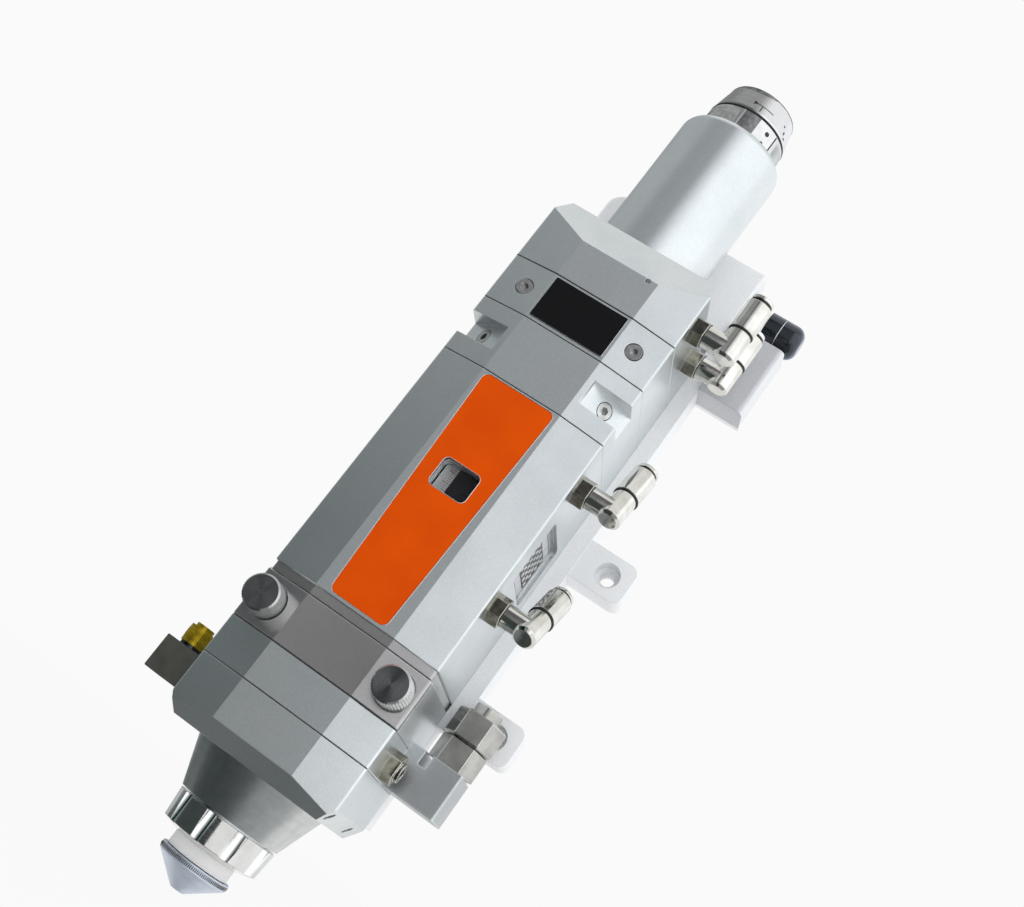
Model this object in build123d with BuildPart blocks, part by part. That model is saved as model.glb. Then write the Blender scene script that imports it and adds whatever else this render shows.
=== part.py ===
"""Laser cutting head with motorised focus, in millimetres.

The origin is on the rear mounting face, midway between the two lugs. +Z runs up the optical axis towards the
fibre, -Y faces the operator, and the fittings and lugs are on the +X side.
"""
from build123d import *
import os

os.makedirs("parts", exist_ok=True)

# Optical axis and outline of the machined blocks
axis_y = -43.0
front_y = -79.0
back_y = -12.0
half_w = 38.5
flat_half = 18.4
facet_depth = 3.6
edge_round = 1.0
seam = 0.3
turned_edge = 0.4
bore_r = 14.5

# Heights of the stacked blocks, from the underside up
foot_z = -107.5
bottom_h = 24.5
base_h = 16.9
drawer_h = 22.1
band_h = 3.8
housing_h = 108.0
upper_h = 28.0
clamp_h = 23.0
cap_h = 34.7

base_z = foot_z + bottom_h
drawer_z = base_z + base_h
band_z = drawer_z + drawer_h
housing_z = band_z + band_h
upper_z = housing_z + housing_h
clamp_z = upper_z + upper_h
cap_z = clamp_z + clamp_h
top_z = cap_z + cap_h

# Clearances
seat_gap = 0.05
run_gap = 0.3

# Back plate and its two lugs
flange_half = 46.0
flange_front = -16.5
flange_low_z = -50.5
lug_pitch = 82.0
lug_h = 18.5
lug_end_x = 70.5
lug_hole_x = 60.0
lug_round = 4.0
lug_hole_r = 3.3
lug_sink_r = 5.5
lug_sink_depth = 6.5
plate_head_depth = 5.6
plate_low_z = -99.0

# Socket screws
m4_head_r = 3.5
m4_head_h = 4.0
m4_shank_r = 2.0
m4_key_r = 1.75
m5_head_r = 4.25
m5_head_h = 4.6
m5_shank_r = 2.5
m5_key_r = 2.3
socket_depth = 2.2
head_room = 0.3

# Focus drive inside the main housing
wall = 7.0
rear_wall = 5.0
rod_r = 3.0
rod_x = 24.0
rod_back_y = -24.0
rod_front_y = 2 * axis_y - rod_back_y
motor_r = 9.1
motor_h = 40.0
motor_room = 6.2
motor_low_z = upper_z + motor_room
screw_r = 3.0
screw_top_r = 2.3
screw_foot_r = 2.0
carriage_low_z = housing_z + 49.2
carriage_h = 26.0

# Lenses
lens_r = 16.2
lens_rim = 3.0
lens_crown = 2.0
lens_ring_h = 2.4
ring_slot_w = 2.0
ring_slot_depth = 1.0
rod_seat = 3.0

optical_axis = Axis((0, axis_y, 0), (0, 0, 1))
turning_plane = Plane.XZ.offset(-axis_y)
front_plane = Plane.XZ.offset(-front_y)
right_plane = Plane.YZ.offset(half_w)


def outline(inset=0.0, front=front_y, back=back_y):
    """Plan of a block: a narrow front flat, two shallow facets, flat sides and a flat back."""
    with BuildSketch(mode=Mode.PRIVATE) as plan:
        with BuildLine():
            Polyline(
                (-flat_half, front + inset),
                (flat_half, front + inset),
                (half_w - inset, front + facet_depth + inset),
                (half_w - inset, back),
                (inset - half_w, back),
                (inset - half_w, front + facet_depth + inset),
                close=True,
            )
        make_face()
        fillet(plan.vertices().sort_by(Axis.Y)[2:4], edge_round)
    return plan.sketch


# Screws that hold the back plate, shared by the plate and the blocks
plate_screw_places = [
    (-22.0, base_z + base_h / 2),
    (22.0, base_z + base_h / 2),
    (-15.0, housing_z + 20.0),
    (15.0, housing_z + 20.0),
    (-15.0, upper_z - 20.0),
    (15.0, upper_z - 20.0),
]
plate_screw_grip = 4.0

# Bottom block, with its bevelled underside and tapped holes in the side bevels
front_bevel = 7.0
side_bevel = (5.0, 7.0)
bevel_hole_r = 2.5
bevel_hole_depth = 5.0
bevel_hole_ys = (-68.0, -27.0)

with BuildPart() as bottom_block:
    with BuildSketch(Plane.XY.offset(foot_z)):
        add(outline())
    extrude(amount=bottom_h)
    chamfer(bottom_block.faces().sort_by(Axis.Z)[-1].outer_wire().edges(), seam)
    with BuildSketch(Plane.YZ):
        with BuildLine():
            Polyline(
                (front_y, foot_z),
                (front_y + front_bevel, foot_z),
                (front_y, foot_z + front_bevel),
                close=True,
            )
        make_face()
    extrude(amount=half_w, both=True, mode=Mode.SUBTRACT)
    for side in (-1, 1):
        with BuildSketch(turning_plane):
            with BuildLine():
                Polyline(
                    (side * half_w, foot_z),
                    (side * (half_w - side_bevel[0]), foot_z),
                    (side * half_w, foot_z + side_bevel[1]),
                    close=True,
                )
            make_face()
        extrude(amount=-front_y, both=True, mode=Mode.SUBTRACT)
        for hole_y in bevel_hole_ys:
            slope = Plane(
                origin=(side * (half_w - side_bevel[0] / 2), hole_y, foot_z + side_bevel[1] / 2),
                x_dir=(0, 1, 0),
                z_dir=(side * side_bevel[1], 0, -side_bevel[0]),
            )
            with BuildSketch(slope):
                Circle(bevel_hole_r)
            extrude(amount=-bevel_hole_depth, mode=Mode.SUBTRACT)
    with BuildSketch(Plane.XY.offset(foot_z)):
        with Locations((0, axis_y)):
            Circle(bore_r)
    extrude(amount=bottom_h, mode=Mode.SUBTRACT)
bottom_block.part.label = "bottom_block"
export_step(bottom_block.part, "parts/bottom_block.step")

# Base block above it
with BuildPart() as base_block:
    with BuildSketch(Plane.XY.offset(base_z)):
        add(outline())
        with Locations((0, axis_y)):
            Circle(bore_r, mode=Mode.SUBTRACT)
    extrude(amount=base_h)
    chamfer(base_block.faces().sort_by(Axis.Z)[0].outer_wire().edges(), seam)
    chamfer(base_block.faces().sort_by(Axis.Z)[-1].outer_wire().edges(), seam)
    with BuildSketch(Plane.XZ.offset(-back_y)):
        with Locations(*plate_screw_places[:2]):
            Circle(m5_shank_r + seat_gap)
    extrude(amount=plate_screw_grip + seat_gap, mode=Mode.SUBTRACT)
base_block.part.label = "base_block"
export_step(base_block.part, "parts/base_block.step")

# Protective window drawer: cover, frame, and the housing that takes them
cover_t = 8.2
frame_w = 43.4
frame_h = 12.0
frame_round = 4.0
frame_end_y = axis_y + frame_w / 2
frame_mid_z = drawer_z + drawer_h / 2
thumb_x = 30.0
thumb_shank_r = 2.5
thumb_end_y = -58.0
thumb_head_r = 7.4
thumb_head_h = 13.0
thumb_recess_r = thumb_head_r + 0.5
thumb_neck_r = 6.2
thumb_neck_h = 2.0
thumb_chamfer = 0.8
knurl_r = 0.5
knurl_at_r = thumb_head_r + knurl_r / 2
knurl_count = 40
thumb_seat_y = front_y + 3.2

with BuildPart() as drawer_housing:
    with BuildSketch(Plane.XY.offset(drawer_z)):
        add(outline())
        with Locations((0, axis_y)):
            Circle(bore_r, mode=Mode.SUBTRACT)
    extrude(amount=drawer_h)
    chamfer(drawer_housing.faces().sort_by(Axis.Z)[0].outer_wire().edges(), seam)
    chamfer(drawer_housing.faces().sort_by(Axis.Z)[-1].outer_wire().edges(), seam)
    with BuildSketch(Plane.XY.offset(drawer_z)):
        with Locations((0, front_y + (cover_t + run_gap) / 2)):
            Rectangle(2 * half_w, cover_t + run_gap)
    extrude(amount=drawer_h, mode=Mode.SUBTRACT)
    with BuildSketch(front_plane):
        with Locations((0, frame_mid_z)):
            Rectangle(frame_w + 2 * run_gap, frame_h + 2 * run_gap)
    extrude(amount=front_y - frame_end_y - run_gap, mode=Mode.SUBTRACT)
    with BuildSketch(front_plane):
        with Locations((-thumb_x, frame_mid_z), (thumb_x, frame_mid_z)):
            Circle(thumb_shank_r + run_gap)
    extrude(amount=front_y - thumb_end_y - run_gap, mode=Mode.SUBTRACT)
    with BuildSketch(Plane.XY.offset(drawer_z + drawer_h)):
        with Locations((-rod_x, rod_back_y), (rod_x, rod_front_y)):
            Circle(rod_r + seat_gap)
    extrude(amount=-(rod_seat + seat_gap), mode=Mode.SUBTRACT)
drawer_housing.part.label = "drawer_housing"
export_step(drawer_housing.part, "parts/drawer_housing.step")

with BuildPart() as drawer_cover:
    with BuildSketch(Plane.XY.offset(drawer_z + run_gap)):
        add(outline(back=front_y + cover_t))
    extrude(amount=drawer_h - 2 * run_gap)
    chamfer(drawer_cover.faces().sort_by(Axis.Z)[0].outer_wire().edges(), seam)
    chamfer(drawer_cover.faces().sort_by(Axis.Z)[-1].outer_wire().edges(), seam)
    with BuildSketch(front_plane):
        with Locations((-thumb_x, frame_mid_z), (thumb_x, frame_mid_z)):
            Circle(thumb_recess_r)
    extrude(amount=front_y - thumb_seat_y, mode=Mode.SUBTRACT)
    with BuildSketch(front_plane):
        with Locations((-thumb_x, frame_mid_z), (thumb_x, frame_mid_z)):
            Circle(thumb_shank_r + run_gap)
    extrude(amount=-cover_t, mode=Mode.SUBTRACT)
drawer_cover.part.label = "drawer_cover"
export_step(drawer_cover.part, "parts/drawer_cover.step")

window_r = 15.9
window_t = 3.0
window_seat_r = 16.0
window_seat_z = frame_mid_z - 1.0
gasket_h = 1.0
window_ring_h = 2.0
window_hold_r = bore_r - 1.0

with BuildPart() as drawer_frame:
    with BuildSketch(Plane.XY.offset(frame_mid_z - frame_h / 2)):
        with BuildLine():
            Polyline(
                (-frame_w / 2, front_y + cover_t),
                (frame_w / 2, front_y + cover_t),
                (frame_w / 2, frame_end_y),
                (-frame_w / 2, frame_end_y),
                close=True,
            )
        make_face()
    extrude(amount=frame_h)
    fillet(drawer_frame.edges().filter_by(Axis.Z).sort_by(Axis.Y)[-2:], frame_round)
    with BuildSketch(Plane.XY.offset(frame_mid_z - frame_h / 2)):
        with Locations((0, axis_y)):
            Circle(bore_r)
    extrude(amount=frame_h, mode=Mode.SUBTRACT)
    with BuildSketch(Plane.XY.offset(window_seat_z)):
        with Locations((0, axis_y)):
            Circle(window_seat_r)
    extrude(amount=frame_h, mode=Mode.SUBTRACT)
drawer_frame.part.label = "drawer_frame"
export_step(drawer_frame.part, "parts/drawer_frame.step")

with BuildPart() as window_seal:
    with BuildSketch(Plane.XY.offset(window_seat_z)):
        with Locations((0, axis_y)):
            Circle(window_r)
            Circle(bore_r - run_gap, mode=Mode.SUBTRACT)
    extrude(amount=gasket_h)
window_seal.part.label = "window_seal"
export_step(window_seal.part, "parts/window_seal.step")

with BuildPart() as protective_window:
    with BuildSketch(Plane.XY.offset(window_seat_z + gasket_h)):
        with Locations((0, axis_y)):
            Circle(window_r)
    extrude(amount=window_t)
    chamfer(protective_window.edges(), seam)
protective_window.part.label = "protective_window"
export_step(protective_window.part, "parts/protective_window.step")

with BuildPart() as window_ring:
    with BuildSketch(Plane.XY.offset(window_seat_z + gasket_h + window_t)):
        with Locations((0, axis_y)):
            Circle(window_r)
            Circle(window_hold_r, mode=Mode.SUBTRACT)
    extrude(amount=window_ring_h)
    with BuildSketch(Plane.XY.offset(window_seat_z + gasket_h + window_t + window_ring_h)):
        with Locations((0, axis_y)):
            Rectangle(2 * window_r, ring_slot_w)
    extrude(amount=-ring_slot_depth, mode=Mode.SUBTRACT)
window_ring.part.label = "window_ring"
export_step(window_ring.part, "parts/window_ring.step")

# Two captive thumb screws
for name, side in (("thumb_screw_left", -1), ("thumb_screw_right", 1)):
    seat = Plane(
        origin=(side * thumb_x, thumb_seat_y - run_gap, frame_mid_z),
        x_dir=(1, 0, 0),
        z_dir=(0, -1, 0),
    )
    with BuildPart() as thumb_screw:
        with BuildSketch(seat):
            Circle(thumb_neck_r)
        extrude(amount=thumb_neck_h)
        with BuildSketch(seat.offset(thumb_neck_h)):
            Circle(thumb_head_r)
        extrude(amount=thumb_head_h - thumb_neck_h)
        chamfer(thumb_screw.faces().sort_by(Axis.Y)[0].edges(), thumb_chamfer)
        with BuildSketch(seat.offset(thumb_neck_h)):
            with PolarLocations(knurl_at_r, knurl_count):
                Circle(knurl_r)
        extrude(amount=thumb_head_h, mode=Mode.SUBTRACT)
        with BuildSketch(seat):
            Circle(thumb_shank_r)
        extrude(amount=thumb_seat_y - run_gap - thumb_end_y)
    thumb_screw.part.label = name
    export_step(thumb_screw.part, f"parts/{name}.step")

# Thin band between the drawer and the main housing, set back from the faces
band_inset = 0.8

with BuildPart() as seal_band:
    with BuildSketch(Plane.XY.offset(band_z)):
        add(outline(inset=band_inset))
        with Locations((0, axis_y)):
            Circle(bore_r, mode=Mode.SUBTRACT)
        with Locations((-rod_x, rod_back_y), (rod_x, rod_front_y)):
            Circle(rod_r + seat_gap, mode=Mode.SUBTRACT)
        with Locations((rod_x, rod_back_y)):
            Circle(screw_foot_r + run_gap, mode=Mode.SUBTRACT)
    extrude(amount=band_h)
seal_band.part.label = "seal_band"
export_step(seal_band.part, "parts/seal_band.step")

# Main housing: a sleeve with a label recess and a scale opening in front and a window on the right
label_low_z = housing_z + 1.4
label_high_z = upper_z - 0.8
label_low_half = 13.2
label_high_half = 16.8
label_round = 3.0
label_t = 0.8
label_gap = 0.2
scale_mid_z = housing_z + 63.1
scale_open = (17.2, 13.4)
scale_rim = 2.0
scale_t = 1.5
scale_round = 2.5
side_mid = (axis_y, housing_z + 61.2)
side_open = (38.0, 29.0)
side_rim = 2.5
side_t = 2.0
side_round = 3.0
side_inner_round = 2.0
cavity_round = 2.0
cavity_front_y = front_y + wall
cavity_back_y = back_y - rear_wall
cavity_half = half_w - wall

# Push-in elbow fittings: name, place along Y, place along Z and backward lean of the port in degrees
hex_af = 11.0
hex_len = 5.8
stem_r = 4.0
stem_len = 5.0
fittings = [
    ("high", front_y + 12.7, housing_z + 90.3, 22.0),
    ("low", front_y + 13.4, housing_z + 33.2, 36.0),
    ("cap_front", front_y + 10.8, cap_z + 14.5, 0.0),
    ("cap_rear", front_y + 40.0, cap_z + 14.7, 0.0),
]
housing_ports = [(y, z) for _, y, z, _ in fittings[:2]]
cap_ports = [(y, z) for _, y, z, _ in fittings[2:]]


def label_outline(gap):
    """Tapered label with rounded corners, shrunk by the gap, drawn about x = 0 in front view."""
    with BuildSketch(mode=Mode.PRIVATE) as plan:
        with BuildLine():
            Polyline(
                (gap - label_low_half, label_low_z + gap),
                (label_low_half - gap, label_low_z + gap),
                (label_high_half - gap, label_high_z - gap),
                (gap - label_high_half, label_high_z - gap),
                close=True,
            )
        make_face()
        fillet(plan.vertices(), label_round - gap)
    return plan.sketch


with BuildPart() as main_housing:
    with BuildSketch(Plane.XY.offset(housing_z)):
        add(outline())
        with Locations((0, (cavity_front_y + cavity_back_y) / 2)):
            RectangleRounded(
                2 * cavity_half,
                cavity_back_y - cavity_front_y,
                cavity_round,
                mode=Mode.SUBTRACT,
            )
    extrude(amount=housing_h)
    chamfer(main_housing.faces().sort_by(Axis.Z)[0].outer_wire().edges(), seam)
    chamfer(main_housing.faces().sort_by(Axis.Z)[-1].outer_wire().edges(), seam)
    with BuildSketch(front_plane):
        add(label_outline(0.0))
    extrude(amount=-label_t, mode=Mode.SUBTRACT)
    with BuildSketch(front_plane):
        with Locations((0, scale_mid_z)):
            RectangleRounded(scale_open[0] + 2 * scale_rim, scale_open[1] + 2 * scale_rim, scale_round)
    extrude(amount=-(label_t + scale_t), mode=Mode.SUBTRACT)
    with BuildSketch(front_plane):
        with Locations((0, scale_mid_z)):
            RectangleRounded(*scale_open, scale_round)
    extrude(amount=-wall, mode=Mode.SUBTRACT)
    with BuildSketch(right_plane):
        with Locations(side_mid):
            RectangleRounded(*side_open, side_round)
    extrude(amount=-side_t, mode=Mode.SUBTRACT)
    with BuildSketch(right_plane):
        with Locations(side_mid):
            RectangleRounded(side_open[0] - 2 * side_rim, side_open[1] - 2 * side_rim, side_inner_round)
    extrude(amount=-wall, mode=Mode.SUBTRACT)
    with BuildSketch(right_plane):
        with Locations(*housing_ports):
            Circle(stem_r + seat_gap)
    extrude(amount=-(stem_len + seat_gap), mode=Mode.SUBTRACT)
    with BuildSketch(Plane.XZ.offset(-back_y)):
        with Locations(*plate_screw_places[2:]):
            Circle(m5_shank_r + seat_gap)
    extrude(amount=plate_screw_grip + seat_gap, mode=Mode.SUBTRACT)
main_housing.part.label = "main_housing"
export_step(main_housing.part, "parts/main_housing.step")

with BuildPart() as label_plate:
    with BuildSketch(front_plane):
        add(label_outline(label_gap))
        with Locations((0, scale_mid_z)):
            RectangleRounded(*scale_open, scale_round, mode=Mode.SUBTRACT)
    extrude(amount=-label_t)
label_plate.part.label = "label_plate"
export_step(label_plate.part, "parts/label_plate.step")

with BuildPart() as scale_window:
    with BuildSketch(front_plane.offset(-label_t)):
        with Locations((0, scale_mid_z)):
            RectangleRounded(
                scale_open[0] + 2 * (scale_rim - seat_gap),
                scale_open[1] + 2 * (scale_rim - seat_gap),
                scale_round,
            )
    extrude(amount=-scale_t)
scale_window.part.label = "scale_window"
export_step(scale_window.part, "parts/scale_window.step")

with BuildPart() as side_window:
    with BuildSketch(right_plane):
        with Locations(side_mid):
            RectangleRounded(side_open[0] - 2 * seat_gap, side_open[1] - 2 * seat_gap, side_round)
    extrude(amount=-side_t)
side_window.part.label = "side_window"
export_step(side_window.part, "parts/side_window.step")

# Upper block, with a wedge notch on each side for the screw that clamps it
notch_low_z = upper_z + 8.7
notch_h = 11.5
notch_inner_x = 21.3
notch_depth = 16.4
notch_slope = Vector(half_w - notch_inner_x, notch_depth - facet_depth / 2, 0)
notch_screw_at = 0.48
notch_screw_grip = 6.0
notch_open_y = front_y - 1.0
motor_x = rod_x
motor_y = rod_back_y
notch_screw_seats = []

with BuildPart() as upper_block:
    with BuildSketch(Plane.XY.offset(upper_z)):
        add(outline())
        with Locations((0, axis_y)):
            Circle(bore_r, mode=Mode.SUBTRACT)
    extrude(amount=upper_h)
    chamfer(upper_block.faces().sort_by(Axis.Z)[0].outer_wire().edges(), seam)
    chamfer(upper_block.faces().sort_by(Axis.Z)[-1].outer_wire().edges(), seam)
    for side in (-1, 1):
        start = Vector(side * notch_inner_x, front_y + facet_depth / 2, notch_low_z)
        end = start + Vector(side * notch_slope.X, notch_slope.Y, 0)
        with BuildSketch(Plane.XY.offset(notch_low_z)):
            with BuildLine():
                Polyline(
                    (start.X, start.Y),
                    (end.X + side * notch_slope.X, end.Y + notch_slope.Y),
                    (end.X + side * notch_slope.X, notch_open_y),
                    (start.X - side, notch_open_y),
                    close=True,
                )
            make_face()
        extrude(amount=notch_h, mode=Mode.SUBTRACT)
        seat = Plane(
            origin=start + (end - start) * notch_screw_at + Vector(0, 0, notch_h / 2),
            x_dir=(0, 0, 1),
            z_dir=(side * notch_slope.Y, -notch_slope.X, 0),
        )
        notch_screw_seats.append(seat)
        with BuildSketch(seat):
            Circle(m4_head_r + head_room)
        extrude(amount=-m4_head_h, mode=Mode.SUBTRACT)
        with BuildSketch(seat):
            Circle(m4_shank_r + seat_gap)
        extrude(amount=-(m4_head_h + notch_screw_grip + seat_gap), mode=Mode.SUBTRACT)
    with BuildSketch(Plane.XY.offset(upper_z)):
        with Locations((-rod_x, rod_back_y), (rod_x, rod_front_y)):
            Circle(rod_r + seat_gap)
    extrude(amount=rod_seat + seat_gap, mode=Mode.SUBTRACT)
    with BuildSketch(Plane.XY.offset(upper_z)):
        with Locations((motor_x, motor_y)):
            Circle(screw_top_r + run_gap)
    extrude(amount=motor_room, mode=Mode.SUBTRACT)
    with BuildSketch(Plane.XY.offset(motor_low_z)):
        with Locations((motor_x, motor_y)):
            Circle(motor_r + seat_gap)
    extrude(amount=upper_h, mode=Mode.SUBTRACT)
upper_block.part.label = "upper_block"
export_step(upper_block.part, "parts/upper_block.step")

# Clamp block, with a bare black panel between two socket screws
panel_half = 17.2
panel_h = 20.0
panel_t = 1.0
panel_sink = 0.6
panel_round = 0.5
panel_low_z = clamp_z + 1.7
clamp_screw_x = 26.5
clamp_screw_z = clamp_z + clamp_h / 2
clamp_seat_y = front_y + 5.5
clamp_screw_grip = 8.0

with BuildPart() as clamp_block:
    with BuildSketch(Plane.XY.offset(clamp_z)):
        add(outline())
        with Locations((0, axis_y)):
            Circle(bore_r, mode=Mode.SUBTRACT)
    extrude(amount=clamp_h)
    chamfer(clamp_block.faces().sort_by(Axis.Z)[0].outer_wire().edges(), seam)
    chamfer(clamp_block.faces().sort_by(Axis.Z)[-1].outer_wire().edges(), seam)
    with BuildSketch(front_plane):
        with Locations((0, panel_low_z + panel_h / 2)):
            Rectangle(2 * (panel_half + seat_gap), panel_h + 2 * seat_gap)
    extrude(amount=-panel_sink, mode=Mode.SUBTRACT)
    with BuildSketch(front_plane):
        with Locations((-clamp_screw_x, clamp_screw_z), (clamp_screw_x, clamp_screw_z)):
            Circle(m4_head_r + head_room)
    extrude(amount=front_y - clamp_seat_y, mode=Mode.SUBTRACT)
    with BuildSketch(front_plane):
        with Locations((-clamp_screw_x, clamp_screw_z), (clamp_screw_x, clamp_screw_z)):
            Circle(m4_shank_r + seat_gap)
    extrude(amount=front_y - clamp_seat_y - clamp_screw_grip - seat_gap, mode=Mode.SUBTRACT)
    with BuildSketch(Plane.XY.offset(clamp_z)):
        with Locations((motor_x, motor_y)):
            Circle(motor_r + seat_gap)
    extrude(amount=motor_low_z + motor_h + seat_gap - clamp_z, mode=Mode.SUBTRACT)
clamp_block.part.label = "clamp_block"
export_step(clamp_block.part, "parts/clamp_block.step")

with BuildPart() as black_panel:
    with BuildSketch(front_plane.offset(-panel_sink)):
        with Locations((0, panel_low_z + panel_h / 2)):
            RectangleRounded(2 * panel_half, panel_h, panel_round)
    extrude(amount=panel_t)
black_panel.part.label = "black_panel"
export_step(black_panel.part, "parts/black_panel.step")

# Socket screws of the two blocks: one in each notch, and one each side of the panel
screw_seats = [(seat.offset(-m4_head_h), notch_screw_grip) for seat in notch_screw_seats]
for side in (-1, 1):
    seat = Plane(
        origin=(side * clamp_screw_x, clamp_seat_y, clamp_screw_z),
        x_dir=(1, 0, 0),
        z_dir=(0, -1, 0),
    )
    screw_seats.append((seat, clamp_screw_grip))

with BuildPart() as block_screws:
    for seat, grip in screw_seats:
        with BuildSketch(seat):
            Circle(m4_head_r)
        extrude(amount=m4_head_h)
        with BuildSketch(seat):
            Circle(m4_shank_r)
        extrude(amount=-grip)
        with BuildSketch(seat.offset(m4_head_h)):
            RegularPolygon(m4_key_r, 6)
        extrude(amount=-socket_depth, mode=Mode.SUBTRACT)
block_screws.part.label = "block_screws"
export_step(block_screws.part, "parts/block_screws.step")

# Top cap, bevelled in front and at both sides
cap_front_bevel = (6.8, 16.1)
cap_side_bevel = (4.6, 8.0)
cap_hole_r = 1.2
cap_hole_depth = 3.0
cap_hole_at = (14.1, cap_z + 17.6)

with BuildPart() as top_cap:
    with BuildSketch(Plane.XY.offset(cap_z)):
        add(outline())
    extrude(amount=cap_h)
    chamfer(top_cap.faces().sort_by(Axis.Z)[0].outer_wire().edges(), seam)
    with BuildSketch(Plane.YZ):
        with BuildLine():
            Polyline(
                (front_y, top_z),
                (front_y + cap_front_bevel[0], top_z),
                (front_y, top_z - cap_front_bevel[1]),
                close=True,
            )
        make_face()
    extrude(amount=half_w, both=True, mode=Mode.SUBTRACT)
    for side in (-1, 1):
        with BuildSketch(turning_plane):
            with BuildLine():
                Polyline(
                    (side * half_w, top_z),
                    (side * (half_w - cap_side_bevel[0]), top_z),
                    (side * half_w, top_z - cap_side_bevel[1]),
                    close=True,
                )
            make_face()
        extrude(amount=-front_y, both=True, mode=Mode.SUBTRACT)
    with BuildSketch(Plane.XY.offset(cap_z)):
        with Locations((0, axis_y)):
            Circle(bore_r)
    extrude(amount=cap_h, mode=Mode.SUBTRACT)
    with BuildSketch(right_plane):
        with Locations(*cap_ports):
            Circle(stem_r + seat_gap)
    extrude(amount=-(stem_len + seat_gap), mode=Mode.SUBTRACT)
    with BuildSketch(front_plane):
        with Locations(cap_hole_at):
            Circle(cap_hole_r)
    extrude(amount=-cap_hole_depth, mode=Mode.SUBTRACT)
top_cap.part.label = "top_cap"
export_step(top_cap.part, "parts/top_cap.step")

# Collimator tube with its lens cell inside
tube_r = 25.0
tube_bore_r = 20.0
tube_h = 76.0
tube_roof = 8.0
tube_round = 4.0
tube_top_z = top_z + tube_h
beam_r = 9.0
cell_h = 32.0
cell_seat_z = top_z + 12.0

with BuildPart() as collimator_tube:
    with BuildSketch(Plane.XY.offset(top_z)):
        with Locations((0, axis_y)):
            Circle(tube_r)
    extrude(amount=tube_h)
    fillet(collimator_tube.faces().sort_by(Axis.Z)[-1].edges(), tube_round)
    with BuildSketch(Plane.XY.offset(top_z)):
        with Locations((0, axis_y)):
            Circle(tube_bore_r)
    extrude(amount=tube_h - tube_roof, mode=Mode.SUBTRACT)
    with BuildSketch(Plane.XY.offset(top_z)):
        with Locations((0, axis_y)):
            Circle(beam_r)
    extrude(amount=tube_h, mode=Mode.SUBTRACT)
collimator_tube.part.label = "collimator_tube"
export_step(collimator_tube.part, "parts/collimator_tube.step")

with BuildPart() as collimator_cell:
    with BuildSketch(Plane.XY.offset(top_z)):
        with Locations((0, axis_y)):
            Circle(tube_bore_r - seat_gap)
            Circle(bore_r, mode=Mode.SUBTRACT)
    extrude(amount=cell_h)
    with BuildSketch(Plane.XY.offset(cell_seat_z)):
        with Locations((0, axis_y)):
            Circle(lens_r + seat_gap)
    extrude(amount=cell_h, mode=Mode.SUBTRACT)
collimator_cell.part.label = "collimator_cell"
export_step(collimator_cell.part, "parts/collimator_cell.step")

# Focus carriage on its two rods, driven by a screw through a brass nut
carriage_half = 30.0
carriage_front_gap = 1.0
carriage_back_gap = 1.5
carriage_round = 1.5
lens_seat_h = 6.0
carriage_front_y = cavity_front_y + carriage_front_gap
carriage_back_y = cavity_back_y - carriage_back_gap
focus_seat_z = carriage_low_z + lens_seat_h
nut_r = 5.5
nut_flange_r = 7.0
nut_flange_h = 3.0
nut_h = 12.0

with BuildPart() as focus_carriage:
    with BuildSketch(Plane.XY.offset(carriage_low_z)):
        with Locations((0, (carriage_front_y + carriage_back_y) / 2)):
            Rectangle(2 * carriage_half, carriage_back_y - carriage_front_y)
    extrude(amount=carriage_h)
    fillet(focus_carriage.edges().filter_by(Axis.Z), carriage_round)
    with BuildSketch(Plane.XY.offset(carriage_low_z)):
        with Locations((0, axis_y)):
            Circle(bore_r)
        with Locations((-rod_x, rod_back_y), (rod_x, rod_front_y)):
            Circle(rod_r + run_gap)
        with Locations((motor_x, motor_y)):
            Circle(nut_r + seat_gap)
    extrude(amount=carriage_h, mode=Mode.SUBTRACT)
    with BuildSketch(Plane.XY.offset(focus_seat_z)):
        with Locations((0, axis_y)):
            Circle(lens_r + seat_gap)
    extrude(amount=carriage_h, mode=Mode.SUBTRACT)
focus_carriage.part.label = "focus_carriage"
export_step(focus_carriage.part, "parts/focus_carriage.step")

with BuildPart() as lead_nut:
    with BuildSketch(Plane.XY.offset(carriage_low_z - nut_flange_h)):
        with Locations((motor_x, motor_y)):
            Circle(nut_flange_r)
    extrude(amount=nut_flange_h)
    with BuildSketch(Plane.XY.offset(carriage_low_z)):
        with Locations((motor_x, motor_y)):
            Circle(nut_r)
    extrude(amount=nut_h)
    with BuildSketch(Plane.XY.offset(carriage_low_z - nut_flange_h)):
        with Locations((motor_x, motor_y)):
            Circle(screw_r + run_gap)
    extrude(amount=nut_flange_h + nut_h, mode=Mode.SUBTRACT)
lead_nut.part.label = "lead_nut"
export_step(lead_nut.part, "parts/lead_nut.step")

# Lenses and the slotted rings that hold them
lens_land_r = 13.7
lens_arc_r = (lens_land_r**2 + lens_crown**2) / (2 * lens_crown)
half_way_z = lens_crown - lens_arc_r + (lens_arc_r**2 - (lens_land_r / 2) ** 2) ** 0.5

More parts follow.
